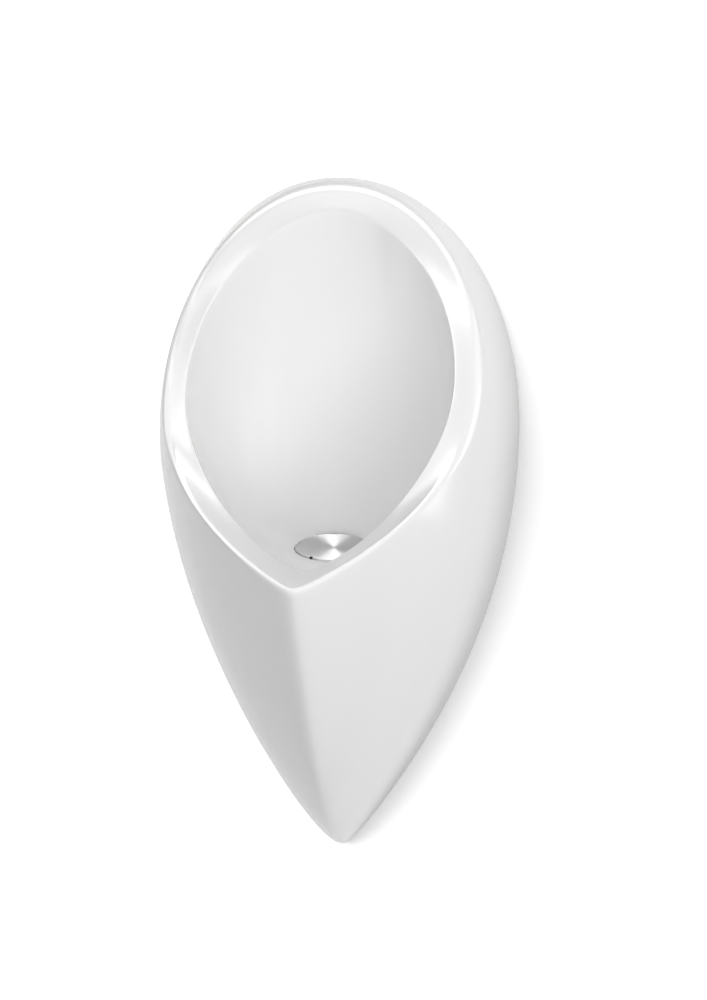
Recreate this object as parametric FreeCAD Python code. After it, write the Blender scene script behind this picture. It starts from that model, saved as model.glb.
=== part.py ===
import FreeCAD, Part
import math
import os
from FreeCAD import Vector

# Wall hung urinal of the waterless kind, in millimetres.
# X runs to the right, Z up, and the wall is the plane Y = 0 with the room on its -Y side.
# Heights are first measured from the bottom tip of the bowl and "reach" is the distance
# out from the wall.  The origin is the centre of the four wall fixings.

# ---- bowl, outer form ------------------------------------------------------------------
BOWL_HEIGHT = 691.5          # bottom tip to top
BOWL_WIDTH = 343.0           # at the wall, where the outline is widest
WIDEST_HEIGHT = 447.0        # of that widest place above the tip
TOP_FULLNESS = 2.06          # 2 is an ellipse, more is squarer
LIP_REACH = 331.0            # a place on the prow ridge just under the lip: from the wall
LIP_HEIGHT = 389.0           # and above the tip
KEEL_SWELL = 105.0           # how far the keel bellies out at its foot
KEEL_BEND = 73.0             # height in which it does so
KEEL_ROUND = 8.0             # blunting of the prow ridge
FOOT_FLANK = (0.35, 0.90)    # curvature terms of a level section, at the tip
WIDE_FLANK = (0.90, 0.68)    # and at the widest place
CHINA = 10.0                 # wall of the casting

# ---- rim -------------------------------------------------------------------------------
# Side view of the rim's outer edge, as if sharp: the reach of points on it and their share
# of the height between the prow's end and the bowl's top.
PROW_HEIGHT = 394.0
RIM_LINE = ((22.0, 1.0), (60.0, 0.8403), (110.0, 0.5950), (170.0, 0.3849), (230.0, 0.2605),
            (280.0, 0.1496), (345.0, 0.0))
RIM_EDGE = 10.0              # rounding of the outer edge
MOUTH_EDGE = 2.5             # rounding of the inner edge
RIM_SHARE = 0.93             # how far the inside of the skirt reaches towards the rim
RIM_DEPTH = 3.0              # and what it stays behind that

# ---- mouth and basin -------------------------------------------------------------------
MOUTH_HALF = 123.4           # half width of the mouth
MOUTH_TOP = 27.7             # its top edge from the rim's top
MOUTH_WIDE = 0.481           # its widest place, as a share of the way from there to the prow
MOUTH_LIP = 46.82            # its lip corner from the prow ridge
MOUTH_POINT = 1.44           # 1 is an ellipse, more is more pointed at the lip
MOUTH_CROWN = 1.09           # the same for the top
MOUTH_DIP = 13.2             # mouth below the straight line from the rim's top to the prow
MOUTH_DIP_LENGTH = 70.0      # distance from the top in which it gets there
LIP_DROP = 34.9              # how much lower still the straight line's end would be
LIP_FROM = 0.623             # and where that begins, as a share of the same way
BASIN_BACK = 27.0            # back of the basin from the wall
FLOOR_HEIGHT = 344.0         # basin floor at the drain, above the tip
DRAIN_REACH = 72.0           # drain from the wall
RECESS_R = 37.6              # round recess for cover and trap
RECESS_DEPTH = 9.0
FLOOR_CHINA = 17.0           # floor thickness at the drain, recess included
BOSS_R = 50.0                # flat underside for the clamping nut
HOLE_PLAY = 1.5              # china hole round the cup

# ---- wall fixings ----------------------------------------------------------------------
FIXING_SPREAD = 120.0        # between left and right fixings
UPPER_FIXING_DROP = 91.5     # upper fixings below the bowl's top
LOWER_FIXING = 170.0         # lower fixings above the tip
SCREW_R = 4.0                # coach screws in the wall
NECK_R = 3.7                 # and in front of it, through bracket and washer
SCREW_LENGTH = 54.0          # under the head
SCREW_POINT = 7.0
SCREW_TIP_R = 0.5
SCREW_PLAY = 0.5             # screw holes of the brackets
WASHER_PLAY = 0.5            # washers round the neck
HEAD_R = 7.5                 # hexagon head, over its corners
HEAD_THICK = 5.3
WASHER_R = 8.5
WASHER_THICK = 1.6
SEAL_THICK = 1.5             # foam band between china and wall
SEAL_INSET = 2.5
SEAL_WIDTH = 6.0

# ---- hanging rail and bracket ----------------------------------------------------------
STEEL = 2.5                  # thickness of bracket and angles
PAD = 1.0                    # nylon liner of a hook
RAIL_THICK = 7.5             # china lip that hangs on the hooks
RAIL_DROP = 14.0             # how far that lip reaches down
RAIL_WEB = 10.0              # thickness of the web above it
RAIL_LENGTH = 150.0
RAIL_REACH = 32.0            # web of the upper rail, into the basin's back
LUG_START = 45.0             # lower lugs: their inner ends from the middle
LUG_ROOT = 7.5               # and the china outside their outer ends
RAIL_LIFT = 18.0             # foot of the rail lip above the upper fixings
HOOK_WIDTH = 30.0
HOOK_SPREAD = 76.0           # between the centres of the two hooks
HOOK_HEIGHT = 11.0           # finger above the hook's floor
HOOK_CORNER = 1.5
BRACKET_LENGTH = 150.0
LOW_BRACKET_LENGTH = 38.0
BRACKET_HEIGHT = 54.0
BRACKET_FOOT = 12.0          # plate below the fixings
BRACKET_CORNER = 4.0

# ---- drain cover -----------------------------------------------------------------------
COVER_R = 37.0
COVER_THICK = 2.4
COVER_PROUD = 1.2            # top of the cover above the floor
COVER_DISH = 0.8             # how much its centre is lower than its edge
NOTCHES = 5
NOTCH_R = 1.7
NOTCH_TURN = 25.5            # angle of the first notch, degrees from the right
COVER_BEVEL = 0.5
COVER_RIM = 1.5              # flat rim outside the dish
STEM_BEVEL = 1.0
STEM_PLAY = 1.0              # under the stem's end
STEM_R = 6.0
STEM_LENGTH = 12.0

# ---- trap ------------------------------------------------------------------------------
FIT = 0.3                    # clearance of parts that lift out
GASKET = 1.5                 # under the cup's flange
CUP_FLANGE_R = 36.5
CUP_FLANGE = 2.5
CUP_R = 28.0                 # outside of the cup
CUP_WALL = 3.0
CUP_DEPTH = 74.0             # flange underside to the bottom
WEIR_R = 12.0                # standpipe that the water flows over
WEIR_WALL = 2.0
WEIR_HEIGHT = 46.0
INSERT_FLANGE_R = 34.0
INSERT_PLATE = 2.2
NECK_DEPTH = 12.0
NECK_WALL = 3.9
BELL_R = 17.0
BELL_WALL = 1.6
BELL_GAP = 9.0               # bell rim above the cup's bottom
INLETS = 10
INLET_R = 1.4
SEAT_RIBS = 5                # ribs that hold the cover off the plate
SEAT_RIB = (22.5, 33.0, 2.0)  # inner end, outer end and width
SOCKET_R = 8.5               # outside of the socket for the cover's stem
SOCKET_FLOOR = 1.5
RING_R = 1.3                 # section of the O-rings
RING_DEPTH = 2.5             # from groove floor to bore
RING_SLIDE = 0.05            # radial play of the insert's O-ring in the cup
GROOVE = 3.0                 # width of the O-ring grooves
CLAMP_GASKET = 3.0
CLAMP_WASHER = 1.5
CLAMP_R = 44.0
CLAMP_STEP = 3.0             # gasket smaller than the washer
BACK_NUT_R = 39.0
BACK_NUT = 12.0
NUT_RIBS = 12
RIB_R = 2.6

# ---- waste -----------------------------------------------------------------------------
PIPE_R = 20.0                # outside of the waste pipe
PIPE_WALL = 2.0
SPIGOT_LENGTH = 34.0
SOCKET_WALL = 4.0
SOCKET_LENGTH = 22.0         # of the upper socket above the spigot's end
PIPE_SOCKET = 14.0           # of the other socket, round the end of the pipe
SHOULDER = 6.0               # straight piece between a socket and the bend
BEND_R = 30.0                # centre line of the elbow
BEND_WALL = 4.0
COUPLING_R = 28.4            # nuts without their ribs
COUPLING_LENGTH = 18.0
COUPLING_RIBS = 10
CONE_LENGTH = 5.0
CONE_DROP = 2.0              # how much a cone seal narrows
COUPLING_SHOULDER = 3.0
PIPE_BEHIND = 60.0           # pipe beyond the wall plane
SLEEVE_R = 27.0
SLEEVE_FLANGE_R = 30.0
SLEEVE_FRONT = 2.0
SLEEVE_BEHIND = 22.0
MARK = (1.0, 0.4)            # depth mark round the pipe behind the sleeve: width and depth
CLEAN_R = 13.0               # cleaning opening of the elbow
CLEAN_WALL = 3.0
CLEAN_REACH = 99.0           # end of that branch from the wall
CLEAN_SPIGOT = 10.0
CLEAN_CAP_R = 18.0
CLEAN_CAP = 6.0
CLEAN_SLOT = (22.0, 3.0, 2.0)  # length, width and depth

# Length of the sharp tip that its blunting takes away.
TIP_LENGTH = KEEL_ROUND * WIDEST_HEIGHT / BOWL_WIDTH

UPPER_FIXING = BOWL_HEIGHT - UPPER_FIXING_DROP
MOUNT_HEIGHT = (LOWER_FIXING + UPPER_FIXING) / 2.0
SIDES = (-1.0, 1.0)

# Levels on the drain's axis and the two ends of the elbow.
RECESS_FLOOR = FLOOR_HEIGHT - RECESS_DEPTH
CUP_SEAT = RECESS_FLOOR + GASKET
CUP_TOP = CUP_SEAT + CUP_FLANGE
CUP_FOOT = CUP_SEAT - CUP_DEPTH
CUP_BORE = CUP_R - CUP_WALL
SPIGOT_END = CUP_FOOT - SPIGOT_LENGTH
PLATE_TOP = CUP_TOP + INSERT_PLATE
COVER_TOP = FLOOR_HEIGHT + COVER_PROUD
COVER_FOOT = COVER_TOP - COVER_THICK
BASE_FACE = FLOOR_HEIGHT - FLOOR_CHINA
SOCKET_TOP = SPIGOT_END + SOCKET_LENGTH
BEND_TOP = SPIGOT_END - SHOULDER
BEND_REACH = DRAIN_REACH - BEND_R
PIPE_HEIGHT = BEND_TOP - BEND_R
PIPE_END = BEND_REACH - SHOULDER
PIPE_SOCKET_END = PIPE_END - PIPE_SOCKET
INSERT_RING_R = CUP_BORE - RING_SLIDE

# Stations of the free-form surfaces: around the mouth, from wall to rim and down the basin.
STATIONS = 20                # on each side of the middle
STATION_CROWD = 1.5          # how closely they crowd towards the lip
FLANK_RINGS = 8
BASIN_RINGS = 8
SKIN_RINGS = 6
ROUND_RINGS = 5


# ---- small helpers ---------------------------------------------------------------------
def point(x, reach, height):
    """A point from its place across, its distance from the wall and its height."""
    return Vector(x, -reach, height)


def smooth_step(share):
    share = min(max(share, 0.0), 1.0)
    return share * share * (3.0 - 2.0 * share)


def save(name, shape):
    """Place a finished piece on the mount's origin and write it out."""
    placed = shape.copy()
    placed.translate(Vector(0.0, 0.0, -MOUNT_HEIGHT))
    placed.exportStep("parts/" + name + ".step")
    print(name, "solids", len(placed.Solids), "volume", round(placed.Volume, 1), "valid", placed.isValid())


def block(x, reach, height):
    """A box from its low and high values across, out from the wall and up."""
    return Part.makeBox(x[1] - x[0], reach[1] - reach[0], height[1] - height[0],
                        Vector(x[0], -reach[1], height[0]))


def upright(radius, low, high, x=0.0, reach=DRAIN_REACH):
    """A vertical cylinder, by default on the drain's axis."""
    return Part.makeCylinder(radius, high - low, point(x, reach, low), Vector(0, 0, 1))


def ring(outer, inner, low, high):
    return upright(outer, low, high).cut(upright(inner, low - 1.0, high + 1.0))


def level_bar(radius, near, far, x, height):
    """A cylinder square to the wall, from one reach to a larger one."""
    return Part.makeCylinder(radius, far - near, point(x, near, height), Vector(0, -1, 0))


def level_ring(outer, inner, near, far, x, height):
    return level_bar(outer, near, far, x, height).cut(level_bar(inner, near - 1.0, far + 1.0, x, height))


def placed(shape, base, direction):
    """A shape made on the Z axis, moved to a base point and turned to a direction."""
    moved = shape.copy()
    moved.Placement = FreeCAD.Placement(base, FreeCAD.Rotation(Vector(0, 0, 1), direction))
    return moved


def tube(outer, inner, low, high):
    """A ring on the Z axis."""
    body = Part.makeCylinder(outer, high - low, Vector(0, 0, low))
    return body.cut(Part.makeCylinder(inner, high - low + 2.0, Vector(0, 0, low - 1.0)))


def turned(edges):
    """A solid turned about the Z axis from the edges of its half section."""
    return Part.Face(Part.Wire(edges)).revolve(Vector(0, 0, 0), Vector(0, 0, 1), 360)


def around(shape, count, base):
    """Copies of a shape turned about an upright axis, the first left in place."""
    copies = []
    for i in range(count):
        copy = shape.copy()
        copy.rotate(base, Vector(0, 0, 1), 360.0 * i / count)
        copies.append(copy)
    return copies


def hexagon(radius, low, high):
    """A hexagonal bar on the Z axis, by the radius over its corners."""
    turns = [math.radians(60.0 * i) for i in range(7)]
    corners = [Vector(radius * math.cos(turn), radius * math.sin(turn), low) for turn in turns]
    return Part.Face(Part.makePolygon(corners)).extrude(Vector(0, 0, high - low))


def fuse(shapes):
    whole = shapes[0]
    for shape in shapes[1:]:
        whole = whole.fuse(shape)
    return whole.removeSplitter()


def station_angles():
    """Angles of the stations round the mouth: nought at the lip, pi at the top."""
    half = [math.pi * (i / float(STATIONS)) ** STATION_CROWD for i in range(STATIONS + 1)]
    return half + [-angle for angle in reversed(half[1:-1])]


def closed_curve(points):
    """A smooth closed curve through one point at each station."""
    steps = [0.0]
    for i in range(1, 2 * STATIONS + 1):
        place = min(i, 2 * STATIONS - i) if i != STATIONS else STATIONS
        beside = min(i - 1, 2 * STATIONS - i + 1)
        steps.append(steps[-1] + abs(place ** STATION_CROWD - beside ** STATION_CROWD))
    curve = Part.BSplineCurve()
    curve.interpolate(Points=points, PeriodicFlag=True, Parameters=steps)
    return Part.Wire(curve.toShape())


def skin(rings):
    """Faces through closed curves that follow one another."""
    wires = [closed_curve(points) for points in rings]
    return Part.makeLoft(wires, False, len(rings) == 2).Faces


# ---- form of the bowl ------------------------------------------------------------------
def outline_half(height):
    """Half width of the bowl at the wall, as if its tip were sharp."""
    if height >= WIDEST_HEIGHT:
        share = min((height - WIDEST_HEIGHT) / (BOWL_HEIGHT - WIDEST_HEIGHT), 1.0)
        return BOWL_WIDTH / 2.0 * (1.0 - share ** TOP_FULLNESS) ** (1.0 / TOP_FULLNESS)
    share = min((WIDEST_HEIGHT - height) / (WIDEST_HEIGHT + TIP_LENGTH), 1.0)
    return BOWL_WIDTH / 2.0 * (1.0 - share * share)


def flank_terms(height):
    """Curvature terms of the level section at a height."""
    up = min(max(height / WIDEST_HEIGHT, 0.0), 1.0)
    first = FOOT_FLANK[0] + (WIDE_FLANK[0] - FOOT_FLANK[0]) * up
    second = FOOT_FLANK[1] + (WIDE_FLANK[1] - FOOT_FLANK[1]) * up
    return first, second


def keel_reach(height):
    """Reach of the prow ridge as if sharp, carried on above the lip in a straight line."""
    above_tip = height + TIP_LENGTH
    lip = LIP_HEIGHT + TIP_LENGTH
    pointed = 1.0 + sum(flank_terms(LIP_HEIGHT))
    sharp_lip = LIP_REACH * (1.0 + KEEL_ROUND / (outline_half(LIP_HEIGHT) * pointed))
    swell = KEEL_SWELL * (1.0 - math.exp(-above_tip / KEEL_BEND))
    lip_swell = KEEL_SWELL * (1.0 - math.exp(-lip / KEEL_BEND))
    return (sharp_lip - lip_swell) * above_tip / lip + swell


def shell_half(height, reach):
    """Half width of the outer form at a height and a reach, negative beyond its ridge."""
    if height <= -TIP_LENGTH or height >= BOWL_HEIGHT:
        return -KEEL_ROUND
    along = reach / keel_reach(height)
    first, second = flank_terms(height)
    sharp = outline_half(height) * (1.0 - along) * (1.0 + first * along + second * along * along)
    if sharp <= KEEL_ROUND:
        return sharp - KEEL_ROUND
    return math.sqrt(sharp * sharp - KEEL_ROUND * KEEL_ROUND)


def crossing(low, high, function):
    """Height at which a function that is negative at low and positive at high is nought."""
    for _ in range(50):
        middle = (low + high) / 2.0
        if function(middle) > 0.0:
            high = middle
        else:
            low = middle
    return (low + high) / 2.0


def inner_half(height, reach, inset):
    """Half width of the form drawn in by an inset from the front, the sides and the top."""
    if height <= WIDEST_HEIGHT:
        return shell_half(height, reach + inset) - inset
    share = (height - WIDEST_HEIGHT) / (BOWL_HEIGHT - WIDEST_HEIGHT - inset)
    if share >= 1.0:
        return -1.0
    lifted = WIDEST_HEIGHT + (BOWL_HEIGHT - WIDEST_HEIGHT) * share
    return shell_half(lifted, reach + inset) - inset * math.sqrt(1.0 - share * share)


def slice_ends(reach, inset):
    """Lowest and highest height of the form, drawn in by an inset, at a reach."""
    inside = WIDEST_HEIGHT + reach / 3.0
    bottom = crossing(-TIP_LENGTH, inside, lambda height: inner_half(height, reach, inset))
    top = crossing(BOWL_HEIGHT, inside, lambda height: inner_half(height, reach, inset))
    return bottom, top


def on_shell(side, reach, level, inset=0.0):
    """Point of the form at a reach and at a level, its share of the height there."""
    bottom, top = slice_ends(reach, inset)
    height = bottom + (top - bottom) * level
    return point(side * max(inner_half(height, reach, inset), 0.0), reach, height)


# ---- rim and basin ---------------------------------------------------------------------
def rim_points():
    """Reach and height of the points of the rim's outer edge."""
    return [(reach, PROW_HEIGHT + (BOWL_HEIGHT - PROW_HEIGHT) * share) for reach, share in RIM_LINE]


def rim_line(reach):
    """Height of the rim's outer edge at a reach: a smooth curve through its points."""
    line = rim_points()
    last = len(line) - 2
    i = min(max(sum(1 for place in line if place[0] <= reach) - 1, 0), last)
    (start, low), (end, high) = line[i], line[i + 1]
    before = line[max(i - 1, 0)]
    after = line[min(i + 2, last + 1)]
    start_slope = (high - before[1]) / (end - before[0])
    end_slope = (after[1] - low) / (after[0] - start)
    along = (reach - start) / (end - start)
    rest = 1.0 - along
    straight = low * rest + high * along
    chord = (high - low) / (end - start)
    pull = rest * (start_slope - chord) - along * (end_slope - chord)
    return straight + (end - start) * along * rest * pull


def rim_frame():
    """Top point of the rim, its direction down to the prow, the outward normal and the length."""
    top = point(0, RIM_LINE[0][0], BOWL_HEIGHT)
    down = point(0, LIP_REACH, LIP_HEIGHT) - top
    length = down.Length
    down.normalize()
    return top, down, Vector(0, down.z, -down.y), length


def rim_edge(angle):
    """Outer edge of the rim, as if sharp: its point, and its level on the shell."""
    top, down, out, length = rim_frame()
    widest = length * MOUTH_WIDE
    line = rim_points()

    def edge_at(reach):
        height = rim_line(reach)
        return point(max(shell_half(height, reach), 0.0), reach, height)

    def past(reach):
        place = edge_at(reach)
        along = (place - top).dot(down) - widest
        if along > 0.0 and place.x <= 0.0:
            return 1.0
        return abs(angle) - math.atan2(place.x, along)

    reach = crossing(line[0][0], line[-1][0], past)
    place = edge_at(reach)
    bottom, high = slice_ends(reach, 0.0)
    place.x = math.copysign(place.x, angle)
    return place, min(max((place.z - bottom) / (high - bottom), 0.0), 1.0)


def mouth_point(angle):
    """Point of the mouth's edge at an angle: nought is the lip, pi the top."""
    bow = math.cos(angle)
    top, down, out, length = rim_frame()
    widest = length * MOUTH_WIDE
    if bow > 0.0:
        across = MOUTH_HALF * abs(math.sin(angle)) ** MOUTH_POINT
        along = widest + (length - MOUTH_LIP - widest) * bow
    else:
        across = MOUTH_HALF * abs(math.sin(angle)) ** MOUTH_CROWN
        along = widest + (widest - MOUTH_TOP) * bow
    sink = MOUTH_DIP * smooth_step(along / MOUTH_DIP_LENGTH)
    sink = sink + LIP_DROP * smooth_step((along / length - LIP_FROM) / (1.0 - LIP_FROM))
    return top + Vector(math.copysign(across, angle), 0, 0) + down * along - out * sink


def basin_point(angle, share, thickness):
    """Basin surface: share 0 is the mouth's edge, 1 the edge of the drain's recess."""
    start = mouth_point(angle)
    reach = -start.y
    front = ((1.0 + math.cos(angle)) / 2.0) ** 3
    recess = RECESS_R + 1.4
    end = point(recess * math.sin(angle), DRAIN_REACH + recess * math.cos(angle), FLOOR_HEIGHT)
    second = point(start.x * 0.97,
                   BASIN_BACK + (reach - BASIN_BACK) * (0.45 + 0.50 * front),
                   start.z - (start.z - FLOOR_HEIGHT) * (0.35 + 0.35 * front))
    third = end + (second - end) * 0.75
    third.z = FLOOR_HEIGHT + 0.12 * (second.z - FLOOR_HEIGHT)
    rest = 1.0 - share
    place = start * rest ** 3 + second * 3.0 * rest ** 2 * share \
        + third * 3.0 * rest * share ** 2 + end * share ** 3
    if thickness > 0.0:
        centre = point(0, DRAIN_REACH, place.z)
        outward = place - centre
        outward.normalize()
        sink = smooth_step((share - 0.3) / 0.7)
        place = place + outward * thickness * (1.0 - 0.6 * sink) - Vector(0, 0, thickness * sink)
    return place


def bend(start, corner, end, count):
    """Points of a round turn from start to end that would otherwise meet in a corner."""
    turn = []
    for i in range(count):
        share = i / (count - 1.0)
        turn.append(start * (1.0 - share) ** 2 + corner * 2.0 * share * (1.0 - share) + end * share ** 2)
    return turn


def towards(start, goal, distance):
    """The point a distance from start on the way to goal."""
    way = goal - start
    return start + way * (distance / way.Length)


class Station:
    """The casting's curves at one angle of the mouth."""

    def __init__(self, angle):
        self.angle = angle
        self.side = -1.0 if angle < 0.0 else 1.0
        self.edge, self.level = rim_edge(angle)
        self.mouth = mouth_point(angle)

    def flank(self):
        """From the wall to the start of the rim's rounding."""
        near = SEAL_THICK
        far = -self.edge.y - RIM_EDGE * 0.7
        places = []
        for i in range(FLANK_RINGS):
            reach = near + (far - near) * i / (FLANK_RINGS - 1.0)
            places.append(on_shell(self.side, reach, self.level))
        return places

    def rim(self):
        """Over the rim's rounding and across its face to the mouth."""
        start = self.flank()[-1]
        face = towards(self.edge, self.mouth, RIM_EDGE)
        end = towards(self.mouth, self.edge, MOUTH_EDGE)
        return bend(start, self.edge, face, ROUND_RINGS), [face, end]

    def basin(self):
        """Over the mouth's small rounding and down to the edge of the recess."""
        down = basin_point(self.angle, 0.02, 0.0)
        lip = towards(self.mouth, down, MOUTH_EDGE)
        end = towards(self.mouth, self.edge, MOUTH_EDGE)
        places = [lip]
        for i in range(1, BASIN_RINGS):
            places.append(basin_point(self.angle, i / (BASIN_RINGS - 1.0), 0.0))
        return bend(end, self.mouth, lip, 3), places

    def inner_skin(self):
        """Inside of the skirt, from the wall to the china under the rim."""
        near = SEAL_THICK
        far = near + (-self.edge.y - near) * RIM_SHARE - RIM_DEPTH
        places = []
        for i in range(SKIN_RINGS):
            reach = near + (far - near) * i / (SKIN_RINGS - 1.0)
            places.append(on_shell(self.side, reach, self.level, CHINA))
        return places

    def underside(self):
        """Under the basin, from the china under the rim to the flat round the drain."""
        places = []
        for i in range(BASIN_RINGS - 1):
            share = 0.12 + 0.76 * i / (BASIN_RINGS - 2.0)
            places.append(basin_point(self.angle, share, CHINA))
        reach = DRAIN_REACH + BOSS_R * math.cos(self.angle)
        places.append(point(BOSS_R * math.sin(self.angle), reach, FLOOR_HEIGHT - FLOOR_CHINA))
        return places


def casting():
    """The bowl as one closed skin, before its holes and its rail."""
    stations = [Station(angle) for angle in station_angles()]
    runs = []
    for station in stations:
        rounding, face = station.rim()
        lip, basin = station.basin()
        inner = station.inner_skin()
        under = station.underside()
        runs.append([station.flank(), rounding, face, lip, basin, inner, [inner[-1], under[0]], under])
    faces = []
    for part in range(len(runs[0])):
        rings = [[run[part][i] for run in runs] for i in range(len(runs[0][part]))]
        faces.extend(skin(rings))
    wall = [closed_curve([run[part][0] for run in runs]) for part in (0, 5)]
    faces.append(Part.makeFace(wall, "Part::FaceMakerBullseye"))
    faces.append(Part.Face(closed_curve([run[4][-1] for run in runs])))
    faces.append(Part.Face(closed_curve([run[7][-1] for run in runs])))
    shell = Part.makeShell(faces)
    shell.sewShape()
    solid = Part.makeSolid(shell)
    if solid.Volume < 0.0:
        solid.reverse()
    return solid


# ---- bowl ------------------------------------------------------------------------------
def hang_lip(ends, fixing):
    """The china lip that hangs in hooks, between two places across."""
    near = STEEL + PAD
    low = fixing + RAIL_LIFT
    return block(ends, (near, near + RAIL_THICK), (low, low + RAIL_DROP + RAIL_WEB))


def rail():
    """The upper rail: its lip and the web that ties it to the basin's back."""
    half = RAIL_LENGTH / 2.0
    low = UPPER_FIXING + RAIL_LIFT + RAIL_DROP
    web = block((-half, half), (STEEL + PAD, RAIL_REACH), (low, low + RAIL_WEB))
    return hang_lip((-half, half), UPPER_FIXING).fuse(web)


def make_bowl():
    bowl = casting()
    bowl = bowl.fuse(rail())
    lug_end = outline_half(LOWER_FIXING + RAIL_LIFT) - LUG_ROOT
    bowl = bowl.fuse(hang_lip((LUG_START, lug_end), LOWER_FIXING))
    bowl = bowl.fuse(hang_lip((-lug_end, -LUG_START), LOWER_FIXING))
    bowl = bowl.cut(upright(RECESS_R, RECESS_FLOOR, FLOOR_HEIGHT + 1.0))
    bowl = bowl.cut(upright(CUP_R + HOLE_PLAY, BASE_FACE - 1.0, FLOOR_HEIGHT))
    save("bowl", bowl)


def make_wall_seal():
    """Foam band between the china's back edge and the wall."""
    angles = station_angles()
    curves = []
    for inset in (SEAL_INSET, SEAL_INSET + SEAL_WIDTH):
        stations = [Station(angle) for angle in angles]
        curves.append(closed_curve([on_shell(station.side, SEAL_THICK, station.level, inset)
                                    for station in stations]))
    band = Part.makeFace(curves, "Part::FaceMakerBullseye")
    save("wall_seal", band.extrude(Vector(0, SEAL_THICK, 0)))


# ---- wall fixings ----------------------------------------------------------------------
def fixing_places():
    return [(side * FIXING_SPREAD / 2.0, height) for side in SIDES for height in (LOWER_FIXING, UPPER_FIXING)]


def at_fixings(shape):
    """A shape made on the Z axis, put at each fixing with Z pointing out from the wall."""
    return Part.makeCompound([placed(shape, point(x, 0, height), Vector(0, -1, 0))
                              for x, height in fixing_places()])


def make_screws():
    """Coach screws with hexagon heads, a neck up to the wall plane and a point."""
    seat = STEEL + WASHER_THICK
    head = hexagon(HEAD_R, seat, seat + HEAD_THICK)
    neck = Part.makeCylinder(NECK_R, seat)
    foot = seat - SCREW_LENGTH
    shank = Part.makeCylinder(SCREW_R, -foot - SCREW_POINT, Vector(0, 0, foot + SCREW_POINT))
    end = Part.makeCone(SCREW_TIP_R, SCREW_R, SCREW_POINT, Vector(0, 0, foot))
    save("fixing_screws", at_fixings(fuse([head, neck, shank, end])))


def make_washers():
    save("fixing_washers", at_fixings(tube(WASHER_R, NECK_R + WASHER_PLAY, STEEL, STEEL + WASHER_THICK)))


# ---- brackets and pads -----------------------------------------------------------------
def hook_front():
    """Reach of the inner face of a hook's finger."""
    return STEEL + PAD + RAIL_THICK + PAD


def hook(x, fixing):
    """A J-shaped hook, rounded at its outer bend and at the finger's corners."""
    low = fixing + RAIL_LIFT - PAD - STEEL
    high = low + STEEL + HOOK_HEIGHT
    front = hook_front() + STEEL
    across = (x - HOOK_WIDTH / 2.0, x + HOOK_WIDTH / 2.0)
    shape = block(across, (0.0, front), (low, low + STEEL))
    shape = shape.fuse(block(across, (hook_front(), front), (low, high))).removeSplitter()
    bend_edges = [edge for edge in shape.Edges
                  if (edge.CenterOfMass - point(x, front, low)).Length < 0.1]
    shape = shape.makeFillet(STEEL * 0.9, bend_edges)
    corners = [edge for edge in shape.Edges
               if abs(edge.CenterOfMass.z - high) < 0.1
               and abs(abs(edge.CenterOfMass.x - x) - HOOK_WIDTH / 2.0) < 0.1]
    return shape.makeFillet(HOOK_CORNER, corners)


def plate(x, length, fixing, holes):
    """A bracket's plate on the wall with rounded corners and its screw holes."""
    low = fixing - BRACKET_FOOT
    shape = block((x - length / 2.0, x + length / 2.0), (0.0, STEEL), (low, low + BRACKET_HEIGHT))
    corners = [edge for edge in shape.Edges if abs(edge.tangentAt(edge.FirstParameter).y) > 0.9]
    shape = shape.makeFillet(BRACKET_CORNER, corners)
    for hole in holes:
        shape = shape.cut(level_bar(SCREW_R + SCREW_PLAY, -1.0, STEEL + 1.0, hole, fixing))
    return shape


def make_hanger_bracket():
    half = FIXING_SPREAD / 2.0
    shape = plate(0.0, BRACKET_LENGTH, UPPER_FIXING, (-half, half))
    hooks = [hook(side * HOOK_SPREAD / 2.0, UPPER_FIXING) for side in SIDES]
    save("hanger_bracket", fuse([shape] + hooks))


def make_lower_brackets():
    for name, side in (("left", -1.0), ("right", 1.0)):
        x = side * FIXING_SPREAD / 2.0
        shape = plate(x, LOW_BRACKET_LENGTH, LOWER_FIXING, (x,))
        save("lower_bracket_" + name, fuse([shape, hook(x, LOWER_FIXING)]))


def make_hook_pads():
    """Nylon liners, one in each hook."""
    places = [(side * HOOK_SPREAD / 2.0, UPPER_FIXING) for side in SIDES]
    places += [(side * FIXING_SPREAD / 2.0, LOWER_FIXING) for side in SIDES]
    pads = []
    for x, fixing in places:
        low = fixing + RAIL_LIFT
        across = (x - HOOK_WIDTH / 2.0, x + HOOK_WIDTH / 2.0)
        pad = block(across, (STEEL, hook_front()), (low - PAD, low + HOOK_HEIGHT - 2.0 * PAD))
        pads.append(pad.cut(block(across, (STEEL + PAD, hook_front() - PAD), (low, low + HOOK_HEIGHT))))
    save("hook_pads", Part.makeCompound(pads))


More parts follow.
